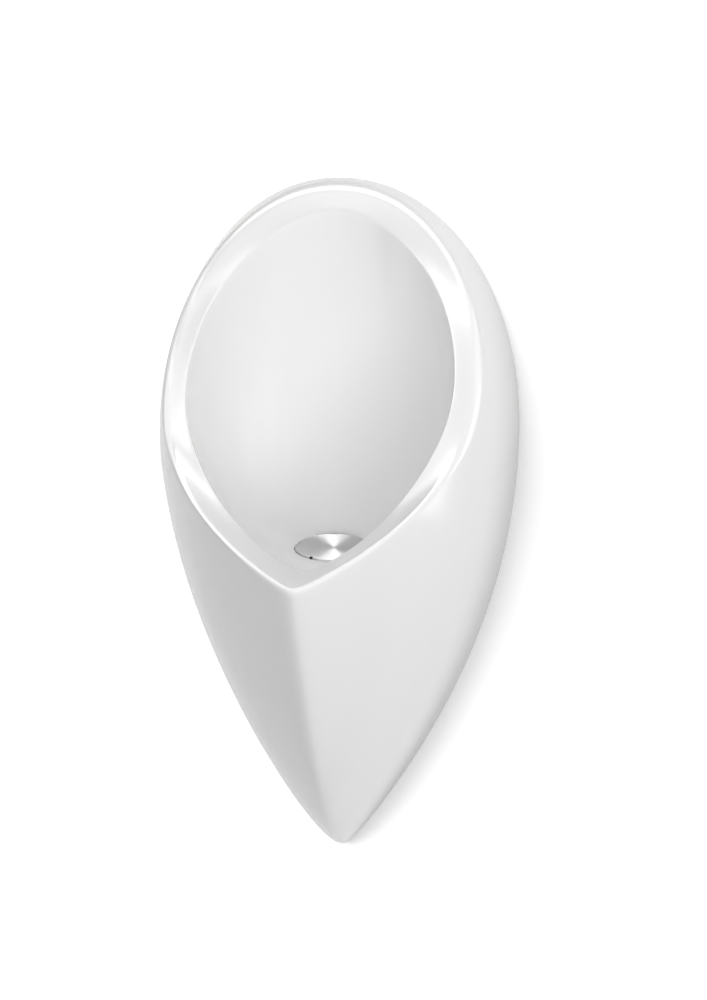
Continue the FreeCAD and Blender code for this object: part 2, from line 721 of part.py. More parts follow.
# ---- drain cover -----------------------------------------------------------------------
def make_cover():
    """Turned disc with a shallow dish and notches round its edge."""
    rim = COVER_R - COVER_RIM
    halfway = Vector(rim / 2.0, 0, COVER_TOP - COVER_DISH * 0.75)
    dish = Part.Arc(Vector(0, 0, COVER_TOP - COVER_DISH), halfway, Vector(rim, 0, COVER_TOP)).toShape()
    corners = [Vector(rim, 0, COVER_TOP), Vector(COVER_R - COVER_BEVEL, 0, COVER_TOP),
               Vector(COVER_R, 0, COVER_TOP - COVER_BEVEL), Vector(COVER_R, 0, COVER_FOOT),
               Vector(0, 0, COVER_FOOT), Vector(0, 0, COVER_TOP - COVER_DISH)]
    edges = [dish] + [Part.makeLine(corners[i], corners[i + 1]) for i in range(len(corners) - 1)]
    cover = turned(edges)
    cover.translate(point(0, DRAIN_REACH, 0))
    first = math.radians(NOTCH_TURN)
    notch = upright(NOTCH_R, COVER_FOOT - 1.0, COVER_TOP + 1.0, COVER_R * math.cos(first),
                    DRAIN_REACH - COVER_R * math.sin(first))
    for cutter in around(notch, NOTCHES, point(0, DRAIN_REACH, 0)):
        cover = cover.cut(cutter)
    save("drain_cover", cover)


def make_cover_stem():
    """Stem that centres the cover in the insert."""
    low = COVER_FOOT - STEM_LENGTH
    stem = upright(STEM_R, low, COVER_FOOT)
    foot = [edge for edge in stem.Edges if edge.CenterOfMass.z < low + 0.1 and edge.Closed]
    save("cover_stem", stem.makeChamfer(STEM_BEVEL, foot))


# ---- trap ------------------------------------------------------------------------------
def make_trap_insert():
    """Plate with inlets, neck with an O-ring groove, bell and the socket for the stem."""
    neck_r = CUP_BORE - FIT
    neck_foot = CUP_TOP - NECK_DEPTH
    plate_disc = upright(INSERT_FLANGE_R, CUP_TOP, PLATE_TOP)
    neck = ring(neck_r, neck_r - NECK_WALL, neck_foot, CUP_TOP)
    bell = ring(BELL_R, BELL_R - BELL_WALL, CUP_FOOT + CUP_WALL + BELL_GAP, CUP_TOP)
    socket_foot = COVER_FOOT - STEM_LENGTH - STEM_PLAY - SOCKET_FLOOR
    socket = upright(SOCKET_R, socket_foot, CUP_TOP)
    base = point(0, DRAIN_REACH, 0)
    rib_half = SEAT_RIB[2] / 2.0
    rib = block((SEAT_RIB[0], SEAT_RIB[1]), (DRAIN_REACH - rib_half, DRAIN_REACH + rib_half),
                (PLATE_TOP, COVER_FOOT))
    insert = fuse([plate_disc, neck, bell, socket] + around(rib, SEAT_RIBS, base))
    insert = insert.cut(upright(STEM_R + FIT, socket_foot + SOCKET_FLOOR, PLATE_TOP + 1.0))
    middle = (BELL_R + neck_r - NECK_WALL) / 2.0
    turn = math.pi / INLETS
    inlet = upright(INLET_R, CUP_TOP - 1.0, PLATE_TOP + 1.0, middle * math.cos(turn),
                    DRAIN_REACH - middle * math.sin(turn))
    for cutter in around(inlet, INLETS, base):
        insert = insert.cut(cutter)
    groove_low = neck_foot + (NECK_DEPTH - GROOVE) / 2.0
    groove = ring(neck_r + 1.0, INSERT_RING_R - RING_DEPTH, groove_low, groove_low + GROOVE)
    save("trap_insert", insert.cut(groove))


def o_ring(bore, base, direction):
    """An O-ring pressed flat between its groove's floor and a bore."""
    floor = bore - RING_DEPTH
    section = Part.makeTorus((bore + floor) / 2.0, RING_R)
    return placed(section.common(tube(bore, floor, -GROOVE, GROOVE)), base, direction)


def make_insert_o_ring():
    height = CUP_TOP - NECK_DEPTH / 2.0
    save("insert_o_ring", o_ring(INSERT_RING_R, point(0, DRAIN_REACH, height), Vector(0, 0, 1)))


def make_trap_cup():
    """Cup with its flange, the standpipe in its middle and the spigot below."""
    floor = CUP_FOOT + CUP_WALL
    cup = fuse([upright(CUP_FLANGE_R, CUP_SEAT, CUP_TOP), upright(CUP_R, CUP_FOOT, CUP_SEAT),
                upright(PIPE_R, SPIGOT_END, CUP_FOOT)])
    cup = cup.cut(upright(CUP_BORE, floor, CUP_TOP + 1.0))
    cup = cup.fuse(upright(WEIR_R, floor, floor + WEIR_HEIGHT))
    cup = cup.cut(upright(WEIR_R - WEIR_WALL, CUP_FOOT - 1.0, floor + WEIR_HEIGHT + 1.0))
    cup = cup.cut(upright(PIPE_R - PIPE_WALL, SPIGOT_END - 1.0, CUP_FOOT))
    save("trap_cup", cup.removeSplitter())


def make_clamping():
    """Gaskets, washer and nut that clamp the cup in the floor of the basin."""
    save("cup_gasket", ring(CUP_FLANGE_R - 0.5, CUP_R, RECESS_FLOOR, CUP_SEAT))
    gasket_foot = BASE_FACE - CLAMP_GASKET
    washer_foot = gasket_foot - CLAMP_WASHER
    save("clamp_gasket", ring(CLAMP_R - CLAMP_STEP, CUP_R, gasket_foot, BASE_FACE))
    save("clamp_washer", ring(CLAMP_R, CUP_R, washer_foot, gasket_foot))
    rib = upright(RIB_R, washer_foot - BACK_NUT, washer_foot, BACK_NUT_R)
    ribs = around(rib, NUT_RIBS, point(0, DRAIN_REACH, 0))
    nut = fuse([upright(BACK_NUT_R, washer_foot - BACK_NUT, washer_foot)] + ribs)
    save("back_nut", nut.cut(upright(CUP_R, washer_foot - BACK_NUT - 1.0, washer_foot + 1.0)))


# ---- waste -----------------------------------------------------------------------------
def bent(radius):
    """Quarter turn of a round bar, from downwards to towards the wall."""
    start = Part.Face(Part.Wire(Part.makeCircle(radius, point(0, DRAIN_REACH, BEND_TOP), Vector(0, 0, 1))))
    return start.revolve(point(0, BEND_REACH, BEND_TOP), Vector(1, 0, 0), 90)


def make_elbow():
    """Elbow with a socket at each end and a cleaning branch towards the room."""
    socket_r = PIPE_R + SOCKET_WALL
    bore = PIPE_R - PIPE_WALL
    body = fuse([upright(socket_r, BEND_TOP, SOCKET_TOP), bent(bore + BEND_WALL),
                 level_bar(socket_r, PIPE_SOCKET_END, BEND_REACH, 0.0, PIPE_HEIGHT),
                 level_bar(CLEAN_R + CLEAN_WALL, BEND_REACH + BEND_R / 2.0, CLEAN_REACH, 0.0, PIPE_HEIGHT)])
    hollow = fuse([upright(bore, BEND_TOP, SPIGOT_END),
                   upright(PIPE_R, SPIGOT_END, SOCKET_TOP + 1.0), bent(bore),
                   level_bar(bore, PIPE_END, BEND_REACH, 0.0, PIPE_HEIGHT),
                   level_bar(PIPE_R, PIPE_SOCKET_END - 1.0, PIPE_END, 0.0, PIPE_HEIGHT),
                   level_bar(CLEAN_R, BEND_REACH, CLEAN_REACH + 1.0, 0.0, PIPE_HEIGHT)])
    save("outlet_elbow", body.cut(hollow))


def cone_seal():
    """A cone washer on the Z axis, standing on the socket's end at nought."""
    cone = Part.makeCone(PIPE_R + SOCKET_WALL, PIPE_R + SOCKET_WALL - CONE_DROP, CONE_LENGTH)
    return cone.cut(Part.makeCylinder(PIPE_R, CONE_LENGTH + 2.0, Vector(0, 0, -1)))


def coupling_nut():
    """A ribbed nut on the Z axis; the socket's end lies at nought."""
    high = CONE_LENGTH + COUPLING_SHOULDER
    low = high - COUPLING_LENGTH
    rib = Part.makeCylinder(RIB_R, COUPLING_LENGTH, Vector(COUPLING_R, 0, low))
    ribs = around(rib, COUPLING_RIBS, Vector(0, 0, 0))
    nut = fuse([Part.makeCylinder(COUPLING_R, COUPLING_LENGTH, Vector(0, 0, low))] + ribs)
    nut = nut.cut(Part.makeCylinder(PIPE_R + SOCKET_WALL, -low + 1.0, Vector(0, 0, low - 1.0)))
    nut = nut.cut(Part.makeCone(PIPE_R + SOCKET_WALL, PIPE_R + SOCKET_WALL - CONE_DROP, CONE_LENGTH))
    return nut.cut(Part.makeCylinder(PIPE_R + FIT, high + 1.0))


def make_couplings():
    """The two cone seals and nuts: on the spigot and on the pipe."""
    upper = (point(0, DRAIN_REACH, SOCKET_TOP), Vector(0, 0, 1))
    level = (point(0, PIPE_SOCKET_END, PIPE_HEIGHT), Vector(0, 1, 0))
    save("elbow_cone_seal", placed(cone_seal(), *upper))
    save("elbow_nut", placed(coupling_nut(), *upper))
    save("pipe_cone_seal", placed(cone_seal(), *level))
    save("pipe_nut", placed(coupling_nut(), *level))


def make_pipe():
    """Waste pipe through the wall and the rubber sleeve round it."""
    pipe = level_bar(PIPE_R, -PIPE_BEHIND, PIPE_END, 0.0, PIPE_HEIGHT)
    far = -SLEEVE_BEHIND
    pipe = pipe.cut(level_ring(PIPE_R + 1.0, PIPE_R - MARK[1], far - MARK[0], far, 0.0, PIPE_HEIGHT))
    bore = level_bar(PIPE_R - PIPE_WALL, -PIPE_BEHIND - 1.0, PIPE_END + 1.0, 0.0, PIPE_HEIGHT)
    save("outlet_pipe", pipe.cut(bore))
    sleeve = fuse([level_bar(SLEEVE_R, -SLEEVE_BEHIND, 0.0, 0.0, PIPE_HEIGHT),
                   level_bar(SLEEVE_FLANGE_R, 0.0, SLEEVE_FRONT, 0.0, PIPE_HEIGHT)])
    seat = level_bar(PIPE_R, -SLEEVE_BEHIND - 1.0, SLEEVE_FRONT + 1.0, 0.0, PIPE_HEIGHT)
    save("wall_sleeve", sleeve.cut(seat))


def make_cleanout():
    """Plug with a slotted cap and its O-ring."""
    spigot_start = CLEAN_REACH - CLEAN_SPIGOT
    end = CLEAN_REACH + CLEAN_CAP
    plug = fuse([level_bar(CLEAN_R, spigot_start, CLEAN_REACH, 0.0, PIPE_HEIGHT),
                 level_bar(CLEAN_CAP_R, CLEAN_REACH, end, 0.0, PIPE_HEIGHT)])
    length, width, depth = CLEAN_SLOT
    plug = plug.cut(block((-length / 2.0, length / 2.0), (end - depth, end + 1.0),
                          (PIPE_HEIGHT - width / 2.0, PIPE_HEIGHT + width / 2.0)))
    middle = (spigot_start + CLEAN_REACH) / 2.0
    groove = placed(tube(CLEAN_R + 1.0, CLEAN_R - RING_DEPTH, -GROOVE / 2.0, GROOVE / 2.0),
                    point(0, middle, PIPE_HEIGHT), Vector(0, -1, 0))
    save("cleanout_plug", plug.cut(groove))
    save("cleanout_o_ring", o_ring(CLEAN_R, point(0, middle, PIPE_HEIGHT), Vector(0, -1, 0)))


def build():
    os.makedirs("parts", exist_ok=True)
    make_bowl()
    make_wall_seal()
    make_screws()
    make_washers()
    make_hanger_bracket()
    make_lower_brackets()
    make_hook_pads()
    make_cover()
    make_cover_stem()
    make_trap_insert()
    make_insert_o_ring()
    make_trap_cup()
    make_clamping()
    make_elbow()
    make_couplings()
    make_pipe()
    make_cleanout()


build()
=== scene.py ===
import logging
import math
from dataclasses import dataclass, field, replace
from enum import Enum
from typing import Callable, Sequence

import bmesh
import bpy
from mathutils import Matrix, Vector


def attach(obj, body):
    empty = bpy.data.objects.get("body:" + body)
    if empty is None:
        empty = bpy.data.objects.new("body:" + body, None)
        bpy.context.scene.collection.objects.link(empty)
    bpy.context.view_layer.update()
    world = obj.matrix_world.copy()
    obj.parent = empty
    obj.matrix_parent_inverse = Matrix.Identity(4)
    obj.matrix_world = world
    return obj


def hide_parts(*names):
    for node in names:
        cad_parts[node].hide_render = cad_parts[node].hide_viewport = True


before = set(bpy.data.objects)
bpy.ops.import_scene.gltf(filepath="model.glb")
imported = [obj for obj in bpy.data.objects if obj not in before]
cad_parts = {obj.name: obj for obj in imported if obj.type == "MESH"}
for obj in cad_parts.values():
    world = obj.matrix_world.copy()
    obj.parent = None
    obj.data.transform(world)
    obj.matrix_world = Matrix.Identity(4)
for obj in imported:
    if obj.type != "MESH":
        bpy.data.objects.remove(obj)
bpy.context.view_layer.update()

logging.basicConfig(level=logging.INFO, format="%(name)s: %(message)s")
LOG = logging.getLogger("urinal")

MM = 0.001
MOUNT_HEIGHT = 385.0  # of the frame's origin above the bowl's tip, mm
DRAIN_REACH = 72.0  # of the drain's middle from the wall, mm
RIGHT_ANGLE = math.radians(90.0)
MERGE = 0.00001  # points closer than this are one, m
NOISE_RANGE = (0.32, 0.68)  # what a noise node mostly gives
HALVINGS = 40  # of a stretch in which a crossing is sought
Colour = tuple[float, float, float]
Pair = tuple[float, float]
Spot = tuple[float, float, float]
BOWL_MIDDLE: Spot = (0.0, -0.15, 0.05)  # what most lamps look at, in the frame, m
ORIGIN: Spot = (0.0, 0.0, 0.0)


class Body(Enum):
    """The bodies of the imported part."""

    URINAL = "urinal"
    INSERT = "insert"
    COVER = "cover"


class Slot(Enum):
    """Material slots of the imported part."""

    CHINA = "china"
    STAINLESS = "stainless"
    ZINC = "zinc_steel"
    CUP = "cup_plastic"
    INSERT = "insert_plastic"
    WASTE = "waste_plastic"
    NYLON = "nylon"
    RUBBER = "rubber"
    FOAM = "foam"


# ---- places in the frame ----
def place(x: float, reach: float, height: float) -> Vector:
    """Turn a place across, out from the wall and above the tip, in mm, into the frame.

    Args:
        x: place across, to the right.
        reach: distance from the wall.
        height: height above the bowl's tip.

    Returns:
        The point in the frame, in metres.
    """
    return Vector((x * MM, -reach * MM, (height - MOUNT_HEIGHT) * MM))


# ---- shader helpers ----
def new_group(name: str, inputs: dict[str, tuple[str, object]],
              outputs: dict[str, str]) -> tuple[bpy.types.NodeTree, bpy.types.Node, bpy.types.Node]:
    """Make an empty shader node group with named sockets.

    Args:
        name: name of the group.
        inputs: socket type and default value by input name.
        outputs: socket type by output name.

    Returns:
        The node tree and its group input and output nodes.
    """
    tree = bpy.data.node_groups.new(name, "ShaderNodeTree")
    for label, (kind, default) in inputs.items():
        socket = tree.interface.new_socket(name=label, in_out="INPUT", socket_type=kind)
        socket.default_value = default
    for label, kind in outputs.items():
        tree.interface.new_socket(name=label, in_out="OUTPUT", socket_type=kind)
    return tree, tree.nodes.new("NodeGroupInput"), tree.nodes.new("NodeGroupOutput")


def set_inputs(node: bpy.types.Node, values: dict[str | int, object]) -> None:
    """Set constants on a node's sockets, by their names or numbers."""
    for label, value in values.items():
        node.inputs[label].default_value = value


def add_node(tree: bpy.types.NodeTree, kind: str, values: dict[str | int, object] | None = None,
             **settings: object) -> bpy.types.Node:
    """Add a shader node.

    Args:
        tree: tree that takes it.
        kind: its kind.
        values: constants for its sockets.
        settings: its own settings.

    Returns:
        The node.
    """
    node = tree.nodes.new("ShaderNode" + kind)
    for name, value in settings.items():
        setattr(node, name, value)
    set_inputs(node, values or {})
    return node


def link_all(tree: bpy.types.NodeTree, rows: Sequence[tuple]) -> None:
    """Link nodes, each row giving a node and its output, then a node and its input."""
    for source, output, goal, socket in rows:
        tree.links.new(source.outputs[output], goal.inputs[socket])


def mottle_group() -> bpy.types.NodeTree:
    """Soft cloudy change of colour, roughness and height over a surface.

    Returns:
        The group: a noise in object coordinates drives all three outputs.
    """
    found = bpy.data.node_groups.get("mottle")
    if found:
        return found
    tree, start, end = new_group(
        "mottle",
        {
            "Scale": ("NodeSocketFloat", 40.0),
            "Detail": ("NodeSocketFloat", 3.0),
            "Dark": ("NodeSocketColor", (0.5, 0.5, 0.5, 1.0)),
            "Light": ("NodeSocketColor", (0.6, 0.6, 0.6, 1.0)),
            "Rough Low": ("NodeSocketFloat", 0.3),
            "Rough High": ("NodeSocketFloat", 0.4),
        },
        {"Color": "NodeSocketColor", "Roughness": "NodeSocketFloat", "Height": "NodeSocketFloat"},
    )
    where = add_node(tree, "TexCoord")
    noise = add_node(tree, "TexNoise")
    spread = add_node(tree, "MapRange", {"From Min": NOISE_RANGE[0], "From Max": NOISE_RANGE[1]})
    mix = add_node(tree, "Mix", data_type="RGBA")
    rough = add_node(tree, "MapRange")
    link_all(tree, (
        (where, "Object", noise, "Vector"),
        (start, "Scale", noise, "Scale"),
        (start, "Detail", noise, "Detail"),
        (noise, "Fac", spread, "Value"),
        (spread, "Result", mix, "Factor"),
        (start, "Dark", mix, "A"),
        (start, "Light", mix, "B"),
        (spread, "Result", rough, "Value"),
        (start, "Rough Low", rough, "To Min"),
        (start, "Rough High", rough, "To Max"),
        (mix, "Result", end, "Color"),
        (rough, "Result", end, "Roughness"),
        (noise, "Fac", end, "Height"),
    ))
    return tree


def grain_group() -> bpy.types.NodeTree:
    """Very fine surface grain as a height.

    Returns:
        The group: two noises of different size, mixed.
    """
    found = bpy.data.node_groups.get("grain")
    if found:
        return found
    tree, start, end = new_group(
        "grain",
        {
            "Fine": ("NodeSocketFloat", 900.0),
            "Coarse": ("NodeSocketFloat", 120.0),
            "Share": ("NodeSocketFloat", 0.5),
        },
        {"Height": "NodeSocketFloat"},
    )
    where = add_node(tree, "TexCoord")
    mix = add_node(tree, "Mix", data_type="FLOAT")
    for label, socket in (("Fine", "A"), ("Coarse", "B")):
        noise = add_node(tree, "TexNoise", {"Detail": 2.0})
        link_all(tree, (
            (where, "Object", noise, "Vector"),
            (start, label, noise, "Scale"),
            (noise, "Fac", mix, socket),
        ))
    link_all(tree, ((start, "Share", mix, "Factor"), (mix, "Result", end, "Height")))
    return tree


@dataclass(frozen=True)
class Finish:
    """A finish of one of the part's materials: cloudy colour, roughness and fine grain."""

    name: str
    dark: Colour
    light: Colour
    rough_low: float
    rough_high: float
    metallic: float = 0.0
    scale: float = 40.0
    grain_fine: float = 900.0
    grain_coarse: float = 120.0
    grain_share: float = 0.5
    grain_depth: float = 0.00002
    coat: float = 0.0
    coat_rough: float = 0.03
    specular: float = 0.5

    def material(self) -> bpy.types.Material:
        """Build the material once.

        Returns:
            The node material of this finish.
        """
        found = bpy.data.materials.get(self.name)
        if found:
            return found
        material = bpy.data.materials.new(self.name)
        material.use_nodes = True
        tree = material.node_tree
        shader = tree.nodes["Principled BSDF"]
        mottle = add_node(tree, "Group", node_tree=mottle_group())
        set_inputs(mottle, {"Scale": self.scale, "Dark": (*self.dark, 1.0), "Light": (*self.light, 1.0),
                            "Rough Low": self.rough_low, "Rough High": self.rough_high})
        grain = add_node(tree, "Group", node_tree=grain_group())
        set_inputs(grain, {"Fine": self.grain_fine, "Coarse": self.grain_coarse, "Share": self.grain_share})
        bump = add_node(tree, "Bump", {"Distance": self.grain_depth, "Strength": 1.0})
        set_inputs(shader, {"Metallic": self.metallic, "Specular IOR Level": self.specular,
                            "Coat Weight": self.coat, "Coat Roughness": self.coat_rough})
        link_all(tree, (
            (grain, "Height", bump, "Height"),
            (mottle, "Color", shader, "Base Color"),
            (mottle, "Roughness", shader, "Roughness"),
            (bump, "Normal", shader, "Normal"),
        ))
        return material


GLAZE = Finish("glazed_china", (0.846, 0.846, 0.846), (0.850, 0.850, 0.850), 0.25, 0.27, scale=5.0,
               specular=0.4, grain_fine=60.0, grain_coarse=14.0, grain_share=0.8, grain_depth=0.000004,
               coat=0.8, coat_rough=0.17)
# Glaze of the rim's flat: its darker colour is painted shade on the rim, and it is rougher than the body's
# glaze.
RIM_GLAZE_PAINTED_SHADE = replace(GLAZE, name="glazed_rim_painted_shade", dark=(0.786, 0.786, 0.786), light=(0.790, 0.790, 0.790),
                    rough_low=0.42, rough_high=0.44, coat_rough=0.42)
# Near-black finish of the cover's notch walls: painted shade in the notches.
NOTCH_PAINTED_SHADE = Finish("notch_painted_shade", (0.018, 0.018, 0.018), (0.03, 0.03, 0.03), 0.45, 0.6, scale=300.0,
                  metallic=0.6)
BISQUE = Finish("unglazed_china", (0.74, 0.73, 0.70), (0.82, 0.81, 0.78), 0.55, 0.75, scale=30.0,
                grain_fine=1500.0, grain_coarse=260.0, grain_depth=0.00006)
ZINC = Finish("zinc_plated_steel", (0.50, 0.52, 0.54), (0.64, 0.66, 0.67), 0.28, 0.46, scale=90.0,
              metallic=1.0, grain_fine=1400.0, grain_coarse=300.0, grain_depth=0.00001)
CUP_GREY = Finish("cup_plastic", (0.60, 0.61, 0.61), (0.66, 0.67, 0.66), 0.38, 0.48, scale=60.0)
INSERT_BLUE = Finish("insert_plastic", (0.030, 0.042, 0.062), (0.042, 0.056, 0.078), 0.36, 0.50,
                     scale=70.0)
WASTE_WHITE = Finish("waste_plastic", (0.74, 0.74, 0.71), (0.80, 0.80, 0.77), 0.20, 0.30, scale=35.0,
                     coat=0.15)
NYLON = Finish("natural_nylon", (0.62, 0.59, 0.49), (0.72, 0.69, 0.60), 0.42, 0.55, scale=80.0)
RUBBER = Finish("black_rubber", (0.012, 0.012, 0.012), (0.024, 0.024, 0.024), 0.60, 0.78, scale=120.0,
                grain_depth=0.00004)
FOAM = Finish("closed_cell_foam", (0.42, 0.42, 0.40), (0.56, 0.56, 0.54), 0.80, 0.95, scale=260.0,
              grain_fine=1600.0, grain_coarse=700.0, grain_depth=0.0002)


@dataclass(frozen=True)
class TurnedSteel:
    """Stainless steel with the fine circular marks of a lathe tool."""

    name: str = "turned_stainless"
    colour: Colour = (0.74, 0.74, 0.74)
    dull: Colour = (0.56, 0.56, 0.56)
    rough: Pair = (0.40, 0.50)
    pitch: float = 0.00045
    depth: float = 0.000012
    anisotropy: float = 0.9
    quarter_turn: float = 0.25

    def material(self) -> bpy.types.Material:
        """Build the material once.

        Returns:
            The node material, its marks centred on the cover.
        """
        found = bpy.data.materials.get(self.name)
        if found:
            return found
        material = bpy.data.materials.new(self.name)
        material.use_nodes = True
        tree = material.node_tree
        shader = tree.nodes["Principled BSDF"]
        where = add_node(tree, "TexCoord")
        mapping = add_node(tree, "Mapping", {"Location": (0.0, DRAIN_REACH * MM, 0.0)}, vector_type="POINT")
        flat = add_node(tree, "VectorMath", {1: (1.0, 1.0, 0.0)}, operation="MULTIPLY")
        radius = add_node(tree, "VectorMath", operation="LENGTH")
        marks = add_node(tree, "TexNoise", noise_dimensions="1D")
        set_inputs(marks, {"Scale": 1.0 / self.pitch, "Detail": 3.0})
        mix = add_node(tree, "Mix", {"A": (*self.dull, 1.0), "B": (*self.colour, 1.0)}, data_type="RGBA")
        rough = add_node(tree, "MapRange", {"To Min": self.rough[0], "To Max": self.rough[1]})
        bump = add_node(tree, "Bump", {"Distance": self.depth})
        tangent = add_node(tree, "Tangent", direction_type="RADIAL", axis="Z")
        set_inputs(shader, {"Metallic": 1.0, "Anisotropic": self.anisotropy,
                            "Anisotropic Rotation": self.quarter_turn})
        link_all(tree, (
            (where, "Object", mapping, "Vector"),
            (mapping, "Vector", flat, 0),
            (flat, "Vector", radius, 0),
            (radius, "Value", marks, "W"),
            (marks, "Fac", mix, "Factor"),
            (marks, "Fac", rough, "Value"),
            (marks, "Fac", bump, "Height"),
            (mix, "Result", shader, "Base Color"),
            (rough, "Result", shader, "Roughness"),
            (bump, "Normal", shader, "Normal"),
            (tangent, "Tangent", shader, "Tangent"),
        ))
        return material


STEEL = TurnedSteel()


# ---- mesh helpers ----
def ring_surface(bm: bmesh.types.BMesh, rings: Sequence[Sequence[Vector]]) -> None:
    """Draw a surface through rings of points that follow one another.

    Each ring is extruded from the one before and its vertices are set on their places.

    Args:
        bm: mesh that takes the surface.
        rings: rings with the same number of points.
    """
    mark = bm.verts.layers.int.get("station") or bm.verts.layers.int.new("station")
    first = bmesh.ops.create_circle(bm, segments=len(rings[0]), radius=1.0)["verts"]
    for number, (vert, spot) in enumerate(zip(first, rings[0])):
        vert.co = spot
        vert[mark] = number
    kept = set(first)
    edges = [edge for edge in bm.edges if edge.verts[0] in kept and edge.verts[1] in kept]
    for ring in rings[1:]:
        made = bmesh.ops.extrude_edge_only(bm, edges=edges)["geom"]
        for vert in made:
            if isinstance(vert, bmesh.types.BMVert):
                vert.co = ring[vert[mark]]
        fresh = {item for item in made if isinstance(item, bmesh.types.BMVert)}
        edges = [item for item in made if isinstance(item, bmesh.types.BMEdge)
                 and item.verts[0] in fresh and item.verts[1] in fresh]


def block(bm: bmesh.types.BMesh, x: Pair, reach: Pair, height: Pair, edge: float) -> None:
    """Add a box with rounded edges.

    Args:
        bm: mesh that takes the box.
        x: its ends across, mm.
        reach: its ends out from the wall, mm.
        height: its ends above the tip, mm.
        edge: rounding of its edges, mm.
    """
    low, high = place(x[0], reach[1], height[0]), place(x[1], reach[0], height[1])
    made = bmesh.ops.create_cube(bm, size=1.0)["verts"]
    bmesh.ops.scale(bm, vec=high - low, verts=made)
    bmesh.ops.translate(bm, vec=(low + high) / 2.0, verts=made)
    edges = list({item for vert in made for item in vert.link_edges})
    bmesh.ops.bevel(bm, geom=edges, offset=edge * MM, affect="EDGES", segments=3, profile=0.5, material=-1)


def finished(name: str, bm: bmesh.types.BMesh, materials: Sequence[bpy.types.Material],
             sharp: float = 40.0) -> bpy.types.Object:
    """Turn a bmesh into a shaded object at the origin.

    Args:
        name: name of the piece.
        bm: the mesh; it is freed.
        materials: its materials in the order of their face indices.
        sharp: edges that turn by more than this many degrees stay sharp.

    Returns:
        The linked object.
    """
    mesh = bpy.data.meshes.new(name)
    bm.to_mesh(mesh)
    bm.free()
    mesh.shade_smooth()
    mesh.set_sharp_from_angle(angle=math.radians(sharp))
    for material in materials:
        mesh.materials.append(material)
    piece = bpy.data.objects.new(name, mesh)
    bpy.context.scene.collection.objects.link(piece)
    return piece


def fit_out(piece: bpy.types.Object, body: Body, nodes: Sequence[str] = ()) -> None:
    """Hand a piece to the frame.

    Args:
        piece: the finished object.
        body: body that it moves with.
        nodes: solids of the frame that it stands for.
    """
    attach(piece, body.value)
    if nodes:
        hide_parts(*nodes)
    LOG.info("%s: %d faces, on %s", piece.name, len(piece.data.polygons), body.value)


def smooth_step(share: float) -> float:
    """Ease a share from nought to one."""
    share = min(max(share, 0.0), 1.0)
    return share * share * (3.0 - 2.0 * share)


def crossing(low: float, high: float, function: Callable[[float], float]) -> float:
    """Find where a function changes sign.

    Args:
        low: a place where it is negative.
        high: a place where it is positive.
        function: the function.

    Returns:
        The place where it is nought.
    """
    for _ in range(HALVINGS):
        middle = (low + high) / 2.0
        if function(middle) > 0.0:
            high = middle
        else:
            low = middle
    return (low + high) / 2.0


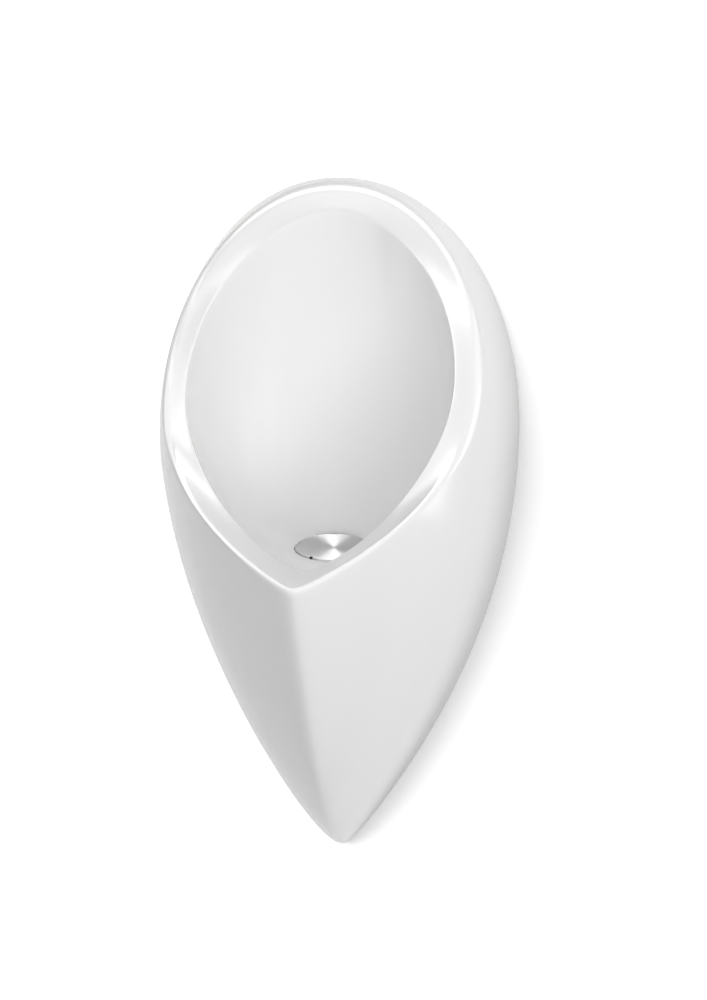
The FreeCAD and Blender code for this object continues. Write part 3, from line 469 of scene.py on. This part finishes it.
# ---- the bowl ----
@dataclass
class OuterForm:
    """Outer form of the bowl: outline at the wall, level sections and prow ridge, in mm."""

    height: float = 691.5
    width: float = 343.0
    widest_height: float = 447.0
    top_fullness: float = 2.06  # exponent of the arch above the widest place
    lip_reach: float = 331.0
    lip_height: float = 389.0
    keel_swell: float = 105.0  # belly of the ridge near the tip
    keel_bend: float = 73.0  # height over which that belly grows
    keel_round: float = 8.0  # blunting of the ridge
    foot_flank: Pair = (0.35, 0.90)  # curvature of a level section at the tip
    wide_flank: Pair = (0.90, 0.68)  # and at the widest height
    inside_slope: float = 1.0 / 3.0  # rise with the reach of a place that is inside the form

    @property
    def tip_length(self) -> float:
        """Length of the sharp tip that its blunting takes away."""
        return self.keel_round * self.widest_height / self.width

    def outline_half(self, height: float) -> float:
        """Half width of the outline at the wall at a height."""
        if height >= self.widest_height:
            share = min((height - self.widest_height) / (self.height - self.widest_height), 1.0)
            return self.width / 2.0 * (1.0 - share ** self.top_fullness) ** (1.0 / self.top_fullness)
        share = min((self.widest_height - height) / (self.widest_height + self.tip_length), 1.0)
        return self.width / 2.0 * (1.0 - share * share)

    def flank_terms(self, height: float) -> tuple[float, float]:
        """Curvature terms of the level section at a height."""
        up = min(max(height / self.widest_height, 0.0), 1.0)
        return (self.foot_flank[0] + (self.wide_flank[0] - self.foot_flank[0]) * up,
                self.foot_flank[1] + (self.wide_flank[1] - self.foot_flank[1]) * up)

    def keel_reach(self, height: float) -> float:
        """Reach of the prow ridge, as if sharp, at a height."""
        above, lip = height + self.tip_length, self.lip_height + self.tip_length
        pointed = 1.0 + sum(self.flank_terms(self.lip_height))
        sharp_lip = self.lip_reach * (1.0 + self.keel_round / (self.outline_half(self.lip_height) * pointed))
        swell = self.keel_swell * (1.0 - math.exp(-above / self.keel_bend))
        lip_swell = self.keel_swell * (1.0 - math.exp(-lip / self.keel_bend))
        return (sharp_lip - lip_swell) * above / lip + swell

    def half(self, height: float, reach: float) -> float:
        """Half width of the form at a height and a reach, negative beyond its ridge."""
        if height <= -self.tip_length or height >= self.height:
            return -self.keel_round
        along = reach / self.keel_reach(height)
        first, second = self.flank_terms(height)
        sharp = self.outline_half(height) * (1.0 - along) * (1.0 + first * along + second * along * along)
        if sharp <= self.keel_round:
            return sharp - self.keel_round
        return math.sqrt(sharp * sharp - self.keel_round * self.keel_round)

    def inner_half(self, height: float, reach: float, inset: float) -> float:
        """Half width of the form drawn in by an inset from front, sides and top."""
        if height <= self.widest_height:
            return self.half(height, reach + inset) - inset
        share = (height - self.widest_height) / (self.height - self.widest_height - inset)
        if share >= 1.0:
            return -1.0
        lifted = self.widest_height + (self.height - self.widest_height) * share
        return self.half(lifted, reach + inset) - inset * math.sqrt(1.0 - share * share)

    def ends(self, reach: float, inset: float) -> tuple[float, float]:
        """Lowest and highest height of the form, drawn in by an inset, at a reach."""
        inside = self.widest_height + reach * self.inside_slope
        bottom = crossing(-self.tip_length, inside, lambda height: self.inner_half(height, reach, inset))
        top = crossing(self.height, inside, lambda height: self.inner_half(height, reach, inset))
        return bottom, top

    def on_shell(self, side: float, reach: float, level: float, inset: float = 0.0) -> Vector:
        """Find a point of the form.

        Args:
            side: -1 for the left, 1 for the right.
            reach: distance from the wall.
            level: share of the form's height at that reach.
            inset: how far the form is drawn in.

        Returns:
            The point as across, reach and height in mm.
        """
        bottom, top = self.ends(reach, inset)
        height = bottom + (top - bottom) * level
        return Vector((side * max(self.inner_half(height, reach, inset), 0.0), reach, height))


@dataclass
class Bowl:
    """The china bowl: one closed skin from the wall over the rim, down the basin and back inside."""

    form: OuterForm = field(default_factory=OuterForm)
    rim_line: tuple[Pair, ...] = ((22.0, 691.5), (60.0, 644.0), (110.0, 571.0), (170.0, 508.5),
                                  (230.0, 471.5), (280.0, 438.5), (345.0, 394.0))
    rim_edge: float = 10.0  # length of the turn from the flank to the rim's flat
    flank_end: float = 0.7  # share of the rim's edge at which the flank stops
    mouth_edge: float = 2.5
    rim_share: float = 0.93  # reach of the inner skin as a share of the edge's
    rim_depth: float = 3.0
    widest_reach: float = 200.0  # beyond it an edge without width is past the prow
    mouth_half: float = 123.4
    mouth_top: float = 27.7
    mouth_wide: float = 208.0
    mouth_lip: float = 385.6
    mouth_point: float = 1.44  # exponent of the mouth's lower half
    mouth_crown: float = 1.09  # and of its upper half
    mouth_dip: float = 13.2  # how far the mouth lies under the rim's plane
    dip_length: float = 70.0
    lip_drop: float = 34.9  # how much more it lies under it at the lip
    lip_from: float = 269.4
    basin_back: float = 27.0  # reach of the basin's back wall
    basin_reach: Pair = (0.45, 0.50)  # of the upper handle of the basin's curve, and more at the front
    basin_drop: Pair = (0.35, 0.35)  # of that handle, and more at the front
    basin_inset: float = 0.97
    floor_pull: float = 0.75  # the lower handle, from the drain towards the upper one
    floor_lift: float = 0.12
    under_from: float = 0.3  # share of the basin from which the china's thickness turns downwards
    under_thin: float = 0.6
    under_ends: Pair = (0.12, 0.88)  # shares of the basin between which it has a back of its own
    lip_start: float = 0.02
    floor: float = 344.0
    recess: float = 37.6
    recess_depth: float = 9.0
    recess_edge: float = 1.4
    well_edge: float = 0.4
    floor_china: float = 17.0
    hole: float = 29.5
    boss: float = 50.0
    china: float = 10.0
    back: float = 1.5
    flank_points: int = 18
    edge_points: int = 9
    face_points: int = 5
    mouth_points: int = 5
    basin_points: int = 22
    recess_points: int = 4
    under_points: int = 13
    skin_points: int = 10
    stations: int = 96
    crowd: float = 1.5  # how much closer the stations lie towards the lip

    @property
    def rim_rings(self) -> range:
        """Rings of faces on the rim's flat, up to the middle of the mouth's rounding; they take the glaze
        with painted shade.
        """
        first = self.flank_points + self.edge_points - 2
        return range(first, first + self.face_points - 1 + self.mouth_points // 2)

    def angles(self) -> list[float]:
        """Angles round the mouth: nought at the lip, pi at the top, crowded towards the lip."""
        half = [math.pi * (i / self.stations) ** self.crowd for i in range(self.stations + 1)]
        return half + [-angle for angle in reversed(half[1:-1])]

    def rim_height(self, reach: float) -> float:
        """Height of the rim's outer edge at a reach."""
        line = self.rim_line
        last = len(line) - 2
        i = min(max(sum(1 for spot in line if spot[0] <= reach) - 1, 0), last)
        (start, low), (end, high) = line[i], line[i + 1]
        before, after = line[max(i - 1, 0)], line[min(i + 2, last + 1)]
        start_slope = (high - before[1]) / (end - before[0])
        end_slope = (after[1] - low) / (after[0] - start)
        along = (reach - start) / (end - start)
        rest = 1.0 - along
        chord = (high - low) / (end - start)
        bow = (end - start) * along * rest * (rest * (start_slope - chord) - along * (end_slope - chord))
        return low * rest + high * along + bow

    def rim_axes(self) -> tuple[Vector, Vector, Vector, float]:
        """Top of the rim, direction down to the prow, outward normal and length."""
        top = Vector((0.0, self.rim_line[0][0], self.form.height))
        down = Vector((0.0, self.form.lip_reach, self.form.lip_height)) - top
        length = down.length
        down.normalize()
        return top, down, Vector((0.0, -down.z, down.y)), length

    def edge(self, angle: float) -> tuple[Vector, float]:
        """Find the rim's outer edge, as if sharp.

        Args:
            angle: angle round the mouth.

        Returns:
            Its point and its level on the outer form.
        """
        top, down, _, _ = self.rim_axes()

        def edge_at(reach: float) -> Vector:
            """Point of the edge line at a reach."""
            height = self.rim_height(reach)
            return Vector((max(self.form.half(height, reach), 0.0), reach, height))

        def past(reach: float) -> float:
            """Tell how far the edge at a reach lies past the angle."""
            spot = edge_at(reach)
            along = (spot - top).dot(down) - self.mouth_wide
            if reach > self.widest_reach and spot.x <= 0.0:
                return 1.0
            return abs(angle) - math.atan2(spot.x, along)

        reach = crossing(self.rim_line[0][0], self.rim_line[-1][0], past)
        spot = edge_at(reach)
        bottom, high = self.form.ends(reach, 0.0)
        spot.x = math.copysign(spot.x, angle)
        return spot, min(max((spot.z - bottom) / (high - bottom), 0.0), 1.0)

    def mouth(self, angle: float) -> Vector:
        """Point of the mouth's edge at an angle."""
        bow = math.cos(angle)
        if bow > 0.0:
            across = self.mouth_half * abs(math.sin(angle)) ** self.mouth_point
            along = self.mouth_wide + (self.mouth_lip - self.mouth_wide) * bow
        else:
            across = self.mouth_half * abs(math.sin(angle)) ** self.mouth_crown
            along = self.mouth_wide + (self.mouth_wide - self.mouth_top) * bow
        top, down, out, length = self.rim_axes()
        sink = self.mouth_dip * smooth_step(along / self.dip_length)
        sink += self.lip_drop * smooth_step((along - self.lip_from) / (length - self.lip_from))
        return top + Vector((math.copysign(across, angle), 0.0, 0.0)) + down * along - out * sink

    def basin(self, angle: float, share: float, thickness: float) -> Vector:
        """Find a point of the basin.

        Args:
            angle: angle round the mouth.
            share: nought at the mouth's edge, one at the recess.
            thickness: china under the surface, or nought for the surface itself.

        Returns:
            The point as across, reach and height in mm.
        """
        start = self.mouth(angle)
        front = ((1.0 + math.cos(angle)) / 2.0) ** 3
        end = self.level_ring(angle, self.recess + self.recess_edge, self.floor)
        reach = self.basin_reach[0] + self.basin_reach[1] * front
        drop = self.basin_drop[0] + self.basin_drop[1] * front
        second = Vector((start.x * self.basin_inset, self.basin_back + (start.y - self.basin_back) * reach,
                         start.z - (start.z - self.floor) * drop))
        third = end + (second - end) * self.floor_pull
        third.z = self.floor + self.floor_lift * (second.z - self.floor)
        rest = 1.0 - share
        spot = (start * rest ** 3 + second * 3.0 * rest ** 2 * share
                + third * 3.0 * rest * share ** 2 + end * share ** 3)
        if thickness > 0.0:
            outward = spot - Vector((0.0, DRAIN_REACH, spot.z))
            outward.normalize()
            sink = smooth_step((share - self.under_from) / (1.0 - self.under_from))
            spot += outward * thickness * (1.0 - self.under_thin * sink)
            spot -= Vector((0.0, 0.0, thickness * sink))
        return spot

    @staticmethod
    def bend(start: Vector, corner: Vector, end: Vector, count: int) -> list[Vector]:
        """Points of a round turn from start to end that would meet in a corner."""
        shares = [i / (count - 1.0) for i in range(count)]
        return [start * (1.0 - s) ** 2 + corner * 2.0 * s * (1.0 - s) + end * s ** 2 for s in shares]

    @staticmethod
    def line(start: Vector, end: Vector, count: int) -> list[Vector]:
        """Points on a straight line, ends included."""
        return [start.lerp(end, i / (count - 1.0)) for i in range(count)]

    @staticmethod
    def towards(start: Vector, goal: Vector, distance: float) -> Vector:
        """The point a distance from start on the way to goal."""
        way = goal - start
        return start + way * (distance / way.length)

    @staticmethod
    def level_ring(angle: float, radius: float, height: float) -> Vector:
        """Point of a level circle round the drain."""
        return Vector((radius * math.sin(angle), DRAIN_REACH + radius * math.cos(angle), height))

    def well(self, angle: float) -> list[Vector]:
        """Points of the recess that takes the cover, from its round edge down to the hole."""
        floor = self.floor - self.recess_depth
        rounding = self.bend(self.level_ring(angle, self.recess + self.recess_edge, self.floor),
                             self.level_ring(angle, self.recess, self.floor),
                             self.level_ring(angle, self.recess, self.floor - self.recess_edge),
                             self.recess_points)
        return rounding[1:] + [self.level_ring(angle, self.recess, floor + self.well_edge),
                               self.level_ring(angle, self.recess - self.well_edge, floor),
                               self.level_ring(angle, self.hole + self.well_edge, floor),
                               self.level_ring(angle, self.hole, floor - self.well_edge)]

    def underside(self, angle: float) -> list[Vector]:
        """Points of the china's back, from the hole under the floor and up behind the basin."""
        foot = self.floor - self.floor_china
        top, bottom = self.under_ends
        last = self.under_points - 1
        shares = [top + (bottom - top) * i / last for i in range(last, -1, -1)]
        return [self.level_ring(angle, self.hole, foot + self.well_edge),
                self.level_ring(angle, self.hole + self.well_edge, foot),
                self.level_ring(angle, self.boss, foot),
                *(self.basin(angle, share, self.china) for share in shares)]

    def run(self, angle: float) -> tuple[list[Vector], int]:
        """Follow the china's skin at one station, from the wall round and back to it.

        Args:
            angle: angle round the mouth.

        Returns:
            The points, and the number of them up to which the china is glazed.
        """
        side = -1.0 if angle < 0.0 else 1.0
        edge, level = self.edge(angle)
        mouth = self.mouth(angle)
        far = edge.y - self.rim_edge * self.flank_end
        last = self.flank_points - 1
        flank = [self.form.on_shell(side, self.back + (far - self.back) * i / last, level)
                 for i in range(self.flank_points)]
        face = self.towards(edge, mouth, self.rim_edge)
        inner = self.towards(mouth, edge, self.mouth_edge)
        lip = self.towards(mouth, self.basin(angle, self.lip_start, 0.0), self.mouth_edge)
        down = [self.basin(angle, i / self.basin_points, 0.0) for i in range(1, self.basin_points + 1)]
        glazed = flank + self.bend(flank[-1], edge, face, self.edge_points)[1:]
        glazed += self.line(face, inner, self.face_points)[1:]
        glazed += self.bend(inner, mouth, lip, self.mouth_points)[1:] + down + self.well(angle)
        skin_reach = self.back + (edge.y - self.back) * self.rim_share - self.rim_depth
        last = self.skin_points - 1
        skin = [self.form.on_shell(side, skin_reach + (self.back - skin_reach) * i / last, level, self.china)
                for i in range(self.skin_points)]
        return glazed + self.underside(angle) + skin, len(glazed)

    def build(self) -> None:
        """Build and dress the bowl."""
        runs = [self.run(angle) for angle in self.angles()]
        glazed = runs[0][1]
        paths = [[place(*spot) for spot in points] for points, _ in runs]
        rings = [[path[i] for path in paths] for i in range(len(paths[0]))]
        rings.append(rings[0])
        bm = bmesh.new()
        ring_surface(bm, rings)
        per_ring = len(paths)
        bm.faces.ensure_lookup_table()
        for face in bm.faces:
            ring = face.index // per_ring
            if ring >= glazed - 1:
                face.material_index = 1
            # the rim's flat takes the darker glaze, painted shade
            elif ring in self.rim_rings:
                face.material_index = 2
        bmesh.ops.remove_doubles(bm, verts=bm.verts, dist=MERGE)
        bmesh.ops.recalc_face_normals(bm, faces=bm.faces)
        materials = (GLAZE.material(), BISQUE.material(), RIM_GLAZE_PAINTED_SHADE.material())
        piece = finished("bowl_china", bm, materials, sharp=50.0)
        fit_out(piece, Body.URINAL, ("bowl",))


@dataclass
class HangingLugs:
    """The china rail and lugs at the back that hang in the hooks, in mm."""

    near: float = 3.5
    thick: float = 7.5
    drop: float = 14.0
    web: float = 10.0
    lift: float = 18.0
    upper: float = 600.0
    lower: float = 170.0
    half: float = 75.0
    web_reach: float = 32.0
    lug_ends: Pair = (45.0, 109.0)
    edge: float = 1.2

    def build(self) -> None:
        """Build and dress the rail and lugs."""
        bm = bmesh.new()
        thick = (self.near, self.near + self.thick)
        across = (-self.half, self.half)
        low = self.upper + self.lift
        high = low + self.drop + self.web
        block(bm, across, thick, (low, high), self.edge)
        block(bm, across, (self.near, self.web_reach), (high - self.web, high), self.edge)
        low = self.lower + self.lift
        inner, outer = self.lug_ends
        for ends in ((-outer, -inner), (inner, outer)):
            block(bm, ends, thick, (low, low + self.drop + self.web), self.edge)
        bmesh.ops.recalc_face_normals(bm, faces=bm.faces)
        piece = finished("hanging_lugs", bm, (BISQUE.material(),), sharp=50.0)
        fit_out(piece, Body.URINAL)


# ---- drain cover ----
@dataclass
class DrainCover:
    """Turned steel disc with a shallow dish and small round notches in its edge, in mm."""

    radius: float = 37.0
    thick: float = 2.4
    top: float = 345.2
    dish: float = 0.8
    dish_rings: tuple[float, ...] = (0.02, 0.12, 0.25, 0.4, 0.55, 0.7, 0.82)
    rim: float = 1.5
    bevel: float = 0.5
    bevel_mid: Pair = (0.15, 0.15)  # inset and drop of the point between the ends of the bevel
    foot_bevel: float = 0.3
    soft: float = 0.02  # of the rim's inner end below its top
    notches: int = 5
    notch: float = 2.2
    notch_floor: float = 1.0  # kept between the notches and the ring inside them
    notch_test: float = 0.1  # a face this far inside the bevel is a notch's wall
    first: float = 25.5
    middle: float = 0.7
    upright: float = 0.9  # faces that look up or down by less than this are walls
    segments: int = 720

    def edge_radius(self, turn: float, inset: float) -> float:
        """Radius of the edge at a turn, notches cut in.

        Args:
            turn: angle from the right, in radians.
            inset: how far the edge is drawn in.

        Returns:
            The radius in mm.
        """
        radius = self.radius - inset
        for number in range(self.notches):
            centre = math.radians(self.first + 360.0 * number / self.notches)
            off = math.remainder(turn - centre, 2.0 * math.pi)
            across = self.radius * math.sin(off)
            reach = self.notch + inset
            if abs(across) < reach and math.cos(off) > 0.0:
                radius = min(radius, self.radius * math.cos(off) - math.sqrt(reach * reach - across * across))
        return radius

    def circle(self, radius: Callable[[float], float], height: float) -> list[Vector]:
        """Points of a level ring whose radius may change as it turns."""
        points = []
        for i in range(self.segments):
            turn = 2.0 * math.pi * i / self.segments
            length = radius(turn)
            points.append(place(length * math.cos(turn), DRAIN_REACH - length * math.sin(turn), height))
        return points

    def build(self) -> None:
        """Build and dress the cover."""
        dish_radius = self.radius - self.rim
        inner = self.radius - self.notch - self.notch_floor
        low = self.top - self.thick
        rings = []
        for share in (*self.dish_rings, inner / dish_radius):
            height = self.top - self.dish * (1.0 - share * share)
            rings.append(self.circle(lambda turn, r=dish_radius * share: r, height))
        edge = ((self.rim, self.top - self.soft), (self.bevel, self.top),
                (self.bevel_mid[0], self.top - self.bevel_mid[1]), (0.0, self.top - self.bevel),
                (0.0, low + self.foot_bevel), (self.foot_bevel, low))
        for inset, height in edge:
            rings.append(self.circle(lambda turn, i=inset: self.edge_radius(turn, i), height))
        for radius in (inner, self.middle):
            rings.append(self.circle(lambda turn, r=radius: r, low))
        bm = bmesh.new()
        ring_surface(bm, rings)
        bmesh.ops.holes_fill(bm, edges=bm.edges, sides=0)
        bmesh.ops.recalc_face_normals(bm, faces=bm.faces)
        centre = place(0.0, DRAIN_REACH, self.top)
        for face in bm.faces:
            spot = face.calc_center_median() - centre
            in_notch = math.hypot(spot.x, spot.y) < (self.radius - self.bevel - self.notch_test) * MM
            # the notch walls take the near-black painted shade
            face.material_index = 1 if in_notch and abs(face.normal.z) < self.upright else 0
        piece = finished("drain_cover_disc", bm, (STEEL.material(), NOTCH_PAINTED_SHADE.material()), sharp=35.0)
        fit_out(piece, Body.COVER, ("drain_cover",))


# ---- solids of the frame ----
@dataclass
class FrameSolids:
    """Solids of the frame that are shown as they are, each with its finish."""

    dress: tuple[tuple[Finish, Slot, tuple[str, ...]], ...] = (
        (FOAM, Slot.FOAM, ("wall_seal",)),
        (ZINC, Slot.ZINC, ("fixing_screws", "fixing_washers", "hanger_bracket",
                           "lower_bracket_left", "lower_bracket_right")),
        (NYLON, Slot.NYLON, ("hook_pads", "clamp_washer")),
        (INSERT_BLUE, Slot.INSERT, ("cover_stem", "trap_insert")),
        (CUP_GREY, Slot.CUP, ("trap_cup", "back_nut")),
        (WASTE_WHITE, Slot.WASTE, ("outlet_elbow", "elbow_nut", "pipe_nut", "outlet_pipe", "cleanout_plug")),
        (RUBBER, Slot.RUBBER, ("insert_o_ring", "cup_gasket", "clamp_gasket", "elbow_cone_seal",
                               "pipe_cone_seal", "wall_sleeve", "cleanout_o_ring")),
    )

    def build(self) -> None:
        """Give each solid its finish."""
        for finish, slot, names in self.dress:
            for name in names:
                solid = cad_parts[name]
                solid.data.materials.clear()
                solid.data.materials.append(finish.material())
                LOG.info("%s: %s", name, finish.name)


# ---- studio ----
def looking(spot: Spot, goal: Spot) -> Matrix:
    """Place of a lamp or camera at a spot that looks at a goal."""
    way = Vector(goal) - Vector(spot)
    return Matrix.Translation(spot) @ way.to_track_quat("-Z", "Y").to_matrix().to_4x4()


def any_ray(tree: bpy.types.NodeTree, path: bpy.types.Node, kinds: Sequence[str]) -> bpy.types.NodeSocket:
    """Tell whether a ray is of one of several kinds.

    Args:
        tree: tree that takes the nodes.
        path: its light path node.
        kinds: names of the kinds.

    Returns:
        A socket with one for such a ray and nought for any other.
    """
    found = path.outputs[kinds[0]]
    for kind in kinds[1:]:
        either = add_node(tree, "Math", operation="MAXIMUM")
        tree.links.new(found, either.inputs[0])
        tree.links.new(path.outputs[kind], either.inputs[1])
        found = either.outputs["Value"]
    return found


class Task(Enum):
    """What a lamp is there for."""

    FORM = "even light on the object"
    GLEAM = "seen only as a reflection"
    BACKDROP = "light on wall and floor only"


@dataclass(frozen=True)
class Lamp:
    """A soft box: where it hangs, what it looks at, its size and power."""

    name: str
    task: Task
    spot: Spot
    goal: Spot
    size: Pair
    power: float

    def build(self, backdrop: Sequence[bpy.types.Object]) -> None:
        """Hang the lamp.

        Args:
            backdrop: wall and floor.
        """
        light = bpy.data.lights.new(self.name, "AREA")
        light.shape = "RECTANGLE"
        light.size, light.size_y = self.size
        light.energy = self.power
        lamp = bpy.data.objects.new(self.name, light)
        lamp.matrix_world = looking(self.spot, self.goal)
        bpy.context.scene.collection.objects.link(lamp)
        lamp.visible_camera = False
        lamp.visible_glossy = self.task is Task.GLEAM
        lamp.visible_diffuse = self.task is not Task.GLEAM
        lit = bpy.data.collections.new(self.name + "_lights")
        for piece in backdrop:
            lit.objects.link(piece)
        state = "INCLUDE" if self.task is Task.BACKDROP else "EXCLUDE"
        for entry in lit.collection_objects:
            entry.light_linking.link_state = state
        lamp.light_linking.receiver_collection = lit


@dataclass
class Studio:
    """Wall, floor, lamps, world and camera."""

    floor_height: float = -0.62
    wall_height: float = 2.0
    wall_size: float = 9.0
    wall_white: Colour = (0.9, 0.9, 0.9)
    wall_glow: float = 0.25
    cloud_scale: float = 1.5
    cloud_dark: float = 0.99
    mirrored: float = 0.95  # share of the white that the glaze mirrors
    lamps: tuple[Lamp, ...] = (
        Lamp("key", Task.FORM, (1.5, -2.5, 0.55), BOWL_MIDDLE, (1.6, 1.6), 28.0),
        Lamp("fill_front", Task.FORM, (0.3, -2.9, 0.6), BOWL_MIDDLE, (1.6, 1.6), 15.0),
        Lamp("fill_top", Task.FORM, (0.0, -0.9, 2.6), BOWL_MIDDLE, (1.6, 1.6), 5.0),
        Lamp("fill_side", Task.FORM, (2.7, -0.7, 0.3), BOWL_MIDDLE, (1.6, 1.6), 6.0),
        Lamp("fill_behind", Task.FORM, (0.4, 2.6, 1.0), ORIGIN, (2.0, 2.0), 30.0),
        Lamp("gleam_high_left", Task.GLEAM, (-2.0, -0.9, 1.9), BOWL_MIDDLE, (1.0, 1.0), 22.0),
        Lamp("gleam_left", Task.GLEAM, (-1.2, -0.6, 0.75), BOWL_MIDDLE, (0.7, 0.7), 7.0),
        Lamp("gleam_far_left", Task.GLEAM, (-1.1, -0.25, 0.62), BOWL_MIDDLE, (0.7, 0.7), 4.5),
        Lamp("gleam_above", Task.GLEAM, (0.28, -0.12, 1.0), (0.0, -0.2, 0.0), (0.8, 0.5), 3.5),
        Lamp("gleam_cover", Task.GLEAM, (0.0, -0.25, 1.6), (0.0, -0.15, 0.0), (1.6, 0.5), 18.0),
        Lamp("wall_light", Task.BACKDROP, (-1.9, -7.0, 2.9), ORIGIN, (2.4, 2.4), 380.0),
    )
    halo_centre: Spot = (0.0, -0.05, 0.05)
    halo_radius: float = 0.45
    halo_turns: tuple[Pair, ...] = ((-15.0, 0.12), (10.0, 0.22), (32.0, 0.14), (54.0, 0.06),
                                    (78.0, 0.04), (140.0, 0.1), (160.0, 0.25))  # turn and power
    halo_lamp: Pair = (0.15, 0.21)
    flag_size: Pair = (1.45, 1.6)
    flag_spot: Spot = (-1.25, -0.85, -0.9)
    world_level: float = 0.50
    camera_spot: Spot = (0.4014, -2.8518, 0.97106)
    camera_goal: Spot = (0.0176, -0.0600, 0.0043)
    camera_lens: float = 111.78
    camera_sensor: float = 36.0

    def white_material(self, name: str) -> bpy.types.Material:
        """Make the white of the backdrop: it shows shadows in front and nothing from behind.

        Args:
            name: name of the material.

        Returns:
            The material.
        """
        material = bpy.data.materials.new(name)
        material.use_nodes = True
        tree = material.node_tree
        tree.nodes.clear()
        end = add_node(tree, "OutputMaterial")
        where = add_node(tree, "TexCoord")
        path = add_node(tree, "LightPath")
        cloud = add_node(tree, "TexNoise", {"Scale": self.cloud_scale})
        shade = add_node(tree, "Mix", data_type="RGBA")
        dark = [part * self.cloud_dark for part in self.wall_white]
        set_inputs(shade, {"A": (*self.wall_white, 1.0), "B": (*dark, 1.0)})
        dim = add_node(tree, "Mix", data_type="RGBA")
        dim.inputs["B"].default_value = (*(part * self.mirrored for part in self.wall_white), 1.0)
        matt = add_node(tree, "BsdfDiffuse")
        level = add_node(tree, "Math", {1: self.wall_glow}, operation="MULTIPLY")
        tree.links.new(any_ray(tree, path, ("Is Camera Ray", "Is Transmission Ray")), level.inputs[0])
        lit = add_node(tree, "Emission")
        front = add_node(tree, "AddShader")
        side = add_node(tree, "NewGeometry")
        clear = add_node(tree, "BsdfTransparent")
        pick = add_node(tree, "MixShader")
        link_all(tree, (
            (where, "Object", cloud, "Vector"),
            (cloud, "Fac", shade, "Factor"),
            (shade, "Result", dim, "A"),
            (path, "Is Glossy Ray", dim, "Factor"),
            (dim, "Result", matt, "Color"),
            (level, "Value", lit, "Strength"),
            (matt, "BSDF", front, 0),
            (lit, "Emission", front, 1),
            (side, "Backfacing", pick, "Fac"),
            (front, "Shader", pick, 1),
            (clear, "BSDF", pick, 2),
            (pick, "Shader", end, "Surface"),
        ))
        return material

    def plane(self, name: str, turn: Matrix, spot: Vector) -> bpy.types.Object:
        """Lay a large plane as part of the stage.

        Args:
            name: name of the plane.
            turn: its turn from level.
            spot: its middle.

        Returns:
            The plane's object.
        """
        bm = bmesh.new()
        bmesh.ops.create_grid(bm, x_segments=1, y_segments=1, size=self.wall_size / 2.0)
        bmesh.ops.transform(bm, matrix=Matrix.Translation(spot) @ turn, verts=bm.verts)
        piece = finished(name, bm, (self.white_material(name + "_white"),))
        piece.visible_shadow = False
        piece.visible_diffuse = False
        return piece

    def halo(self) -> list[Lamp]:
        """Small lamps in an arch round the bowl: they draw the line of light on its rim."""
        lamps = []
        for number, (turn, power) in enumerate(self.halo_turns):
            way = Vector((math.cos(math.radians(turn)), 0.0, math.sin(math.radians(turn))))
            spot = Vector(self.halo_centre) + way * self.halo_radius
            lamps.append(Lamp(f"halo_{number}", Task.GLEAM, tuple(spot), self.halo_centre,
                              self.halo_lamp, power))
        return lamps

    def side_flag(self) -> None:
        """Stand a black card low on the left, which keeps the even light off that flank."""
        bm = bmesh.new()
        bmesh.ops.create_grid(bm, x_segments=1, y_segments=1, size=0.5)
        stretch = Matrix.Diagonal((*self.flag_size, 1.0, 1.0))
        upright = Matrix.Rotation(RIGHT_ANGLE, 4, "Y")
        bmesh.ops.transform(bm, matrix=Matrix.Translation(self.flag_spot) @ upright @ stretch, verts=bm.verts)
        card = finished("side_flag", bm, (RUBBER.material(),))
        card.visible_camera = False
        card.visible_shadow = False

    def build_world(self) -> None:
        """Set the even light all round, white where it is seen."""
        world = bpy.data.worlds.new("studio_world")
        world.use_nodes = True
        bpy.context.scene.world = world
        tree = world.node_tree
        back = tree.nodes["Background"]
        back.inputs["Color"].default_value = (1.0, 1.0, 1.0, 1.0)
        path = add_node(tree, "LightPath")
        level = add_node(tree, "MapRange", {"To Min": self.world_level, "To Max": 1.0})
        seen = any_ray(tree, path, ("Is Glossy Ray", "Is Transmission Ray", "Is Camera Ray"))
        tree.links.new(seen, level.inputs["Value"])
        tree.links.new(level.outputs["Result"], back.inputs["Strength"])

    def build_camera(self) -> None:
        """Set the camera at the photograph's viewing angle."""
        data = bpy.data.cameras.new("camera")
        data.lens = self.camera_lens
        data.sensor_width = self.camera_sensor
        camera = bpy.data.objects.new("camera", data)
        camera.matrix_world = looking(self.camera_spot, self.camera_goal)
        bpy.context.scene.collection.objects.link(camera)
        bpy.context.scene.camera = camera

    def build(self) -> None:
        """Set up the whole studio."""
        backdrop = [
            self.plane("wall", Matrix.Rotation(RIGHT_ANGLE, 4, "X"), Vector((0.0, 0.0, self.wall_height))),
            self.plane("floor", Matrix.Identity(4), Vector((0.0, 0.0, self.floor_height))),
        ]
        for lamp in [*self.lamps, *self.halo()]:
            lamp.build(backdrop)
        self.side_flag()
        self.build_world()
        self.build_camera()
        bpy.context.scene.view_settings.view_transform = "Standard"


def main() -> None:
    """Build the urinal's looks and its studio."""
    Bowl().build()
    HangingLugs().build()
    DrainCover().build()
    FrameSolids().build()
    Studio().build()


if __name__ == "__main__":
    main()
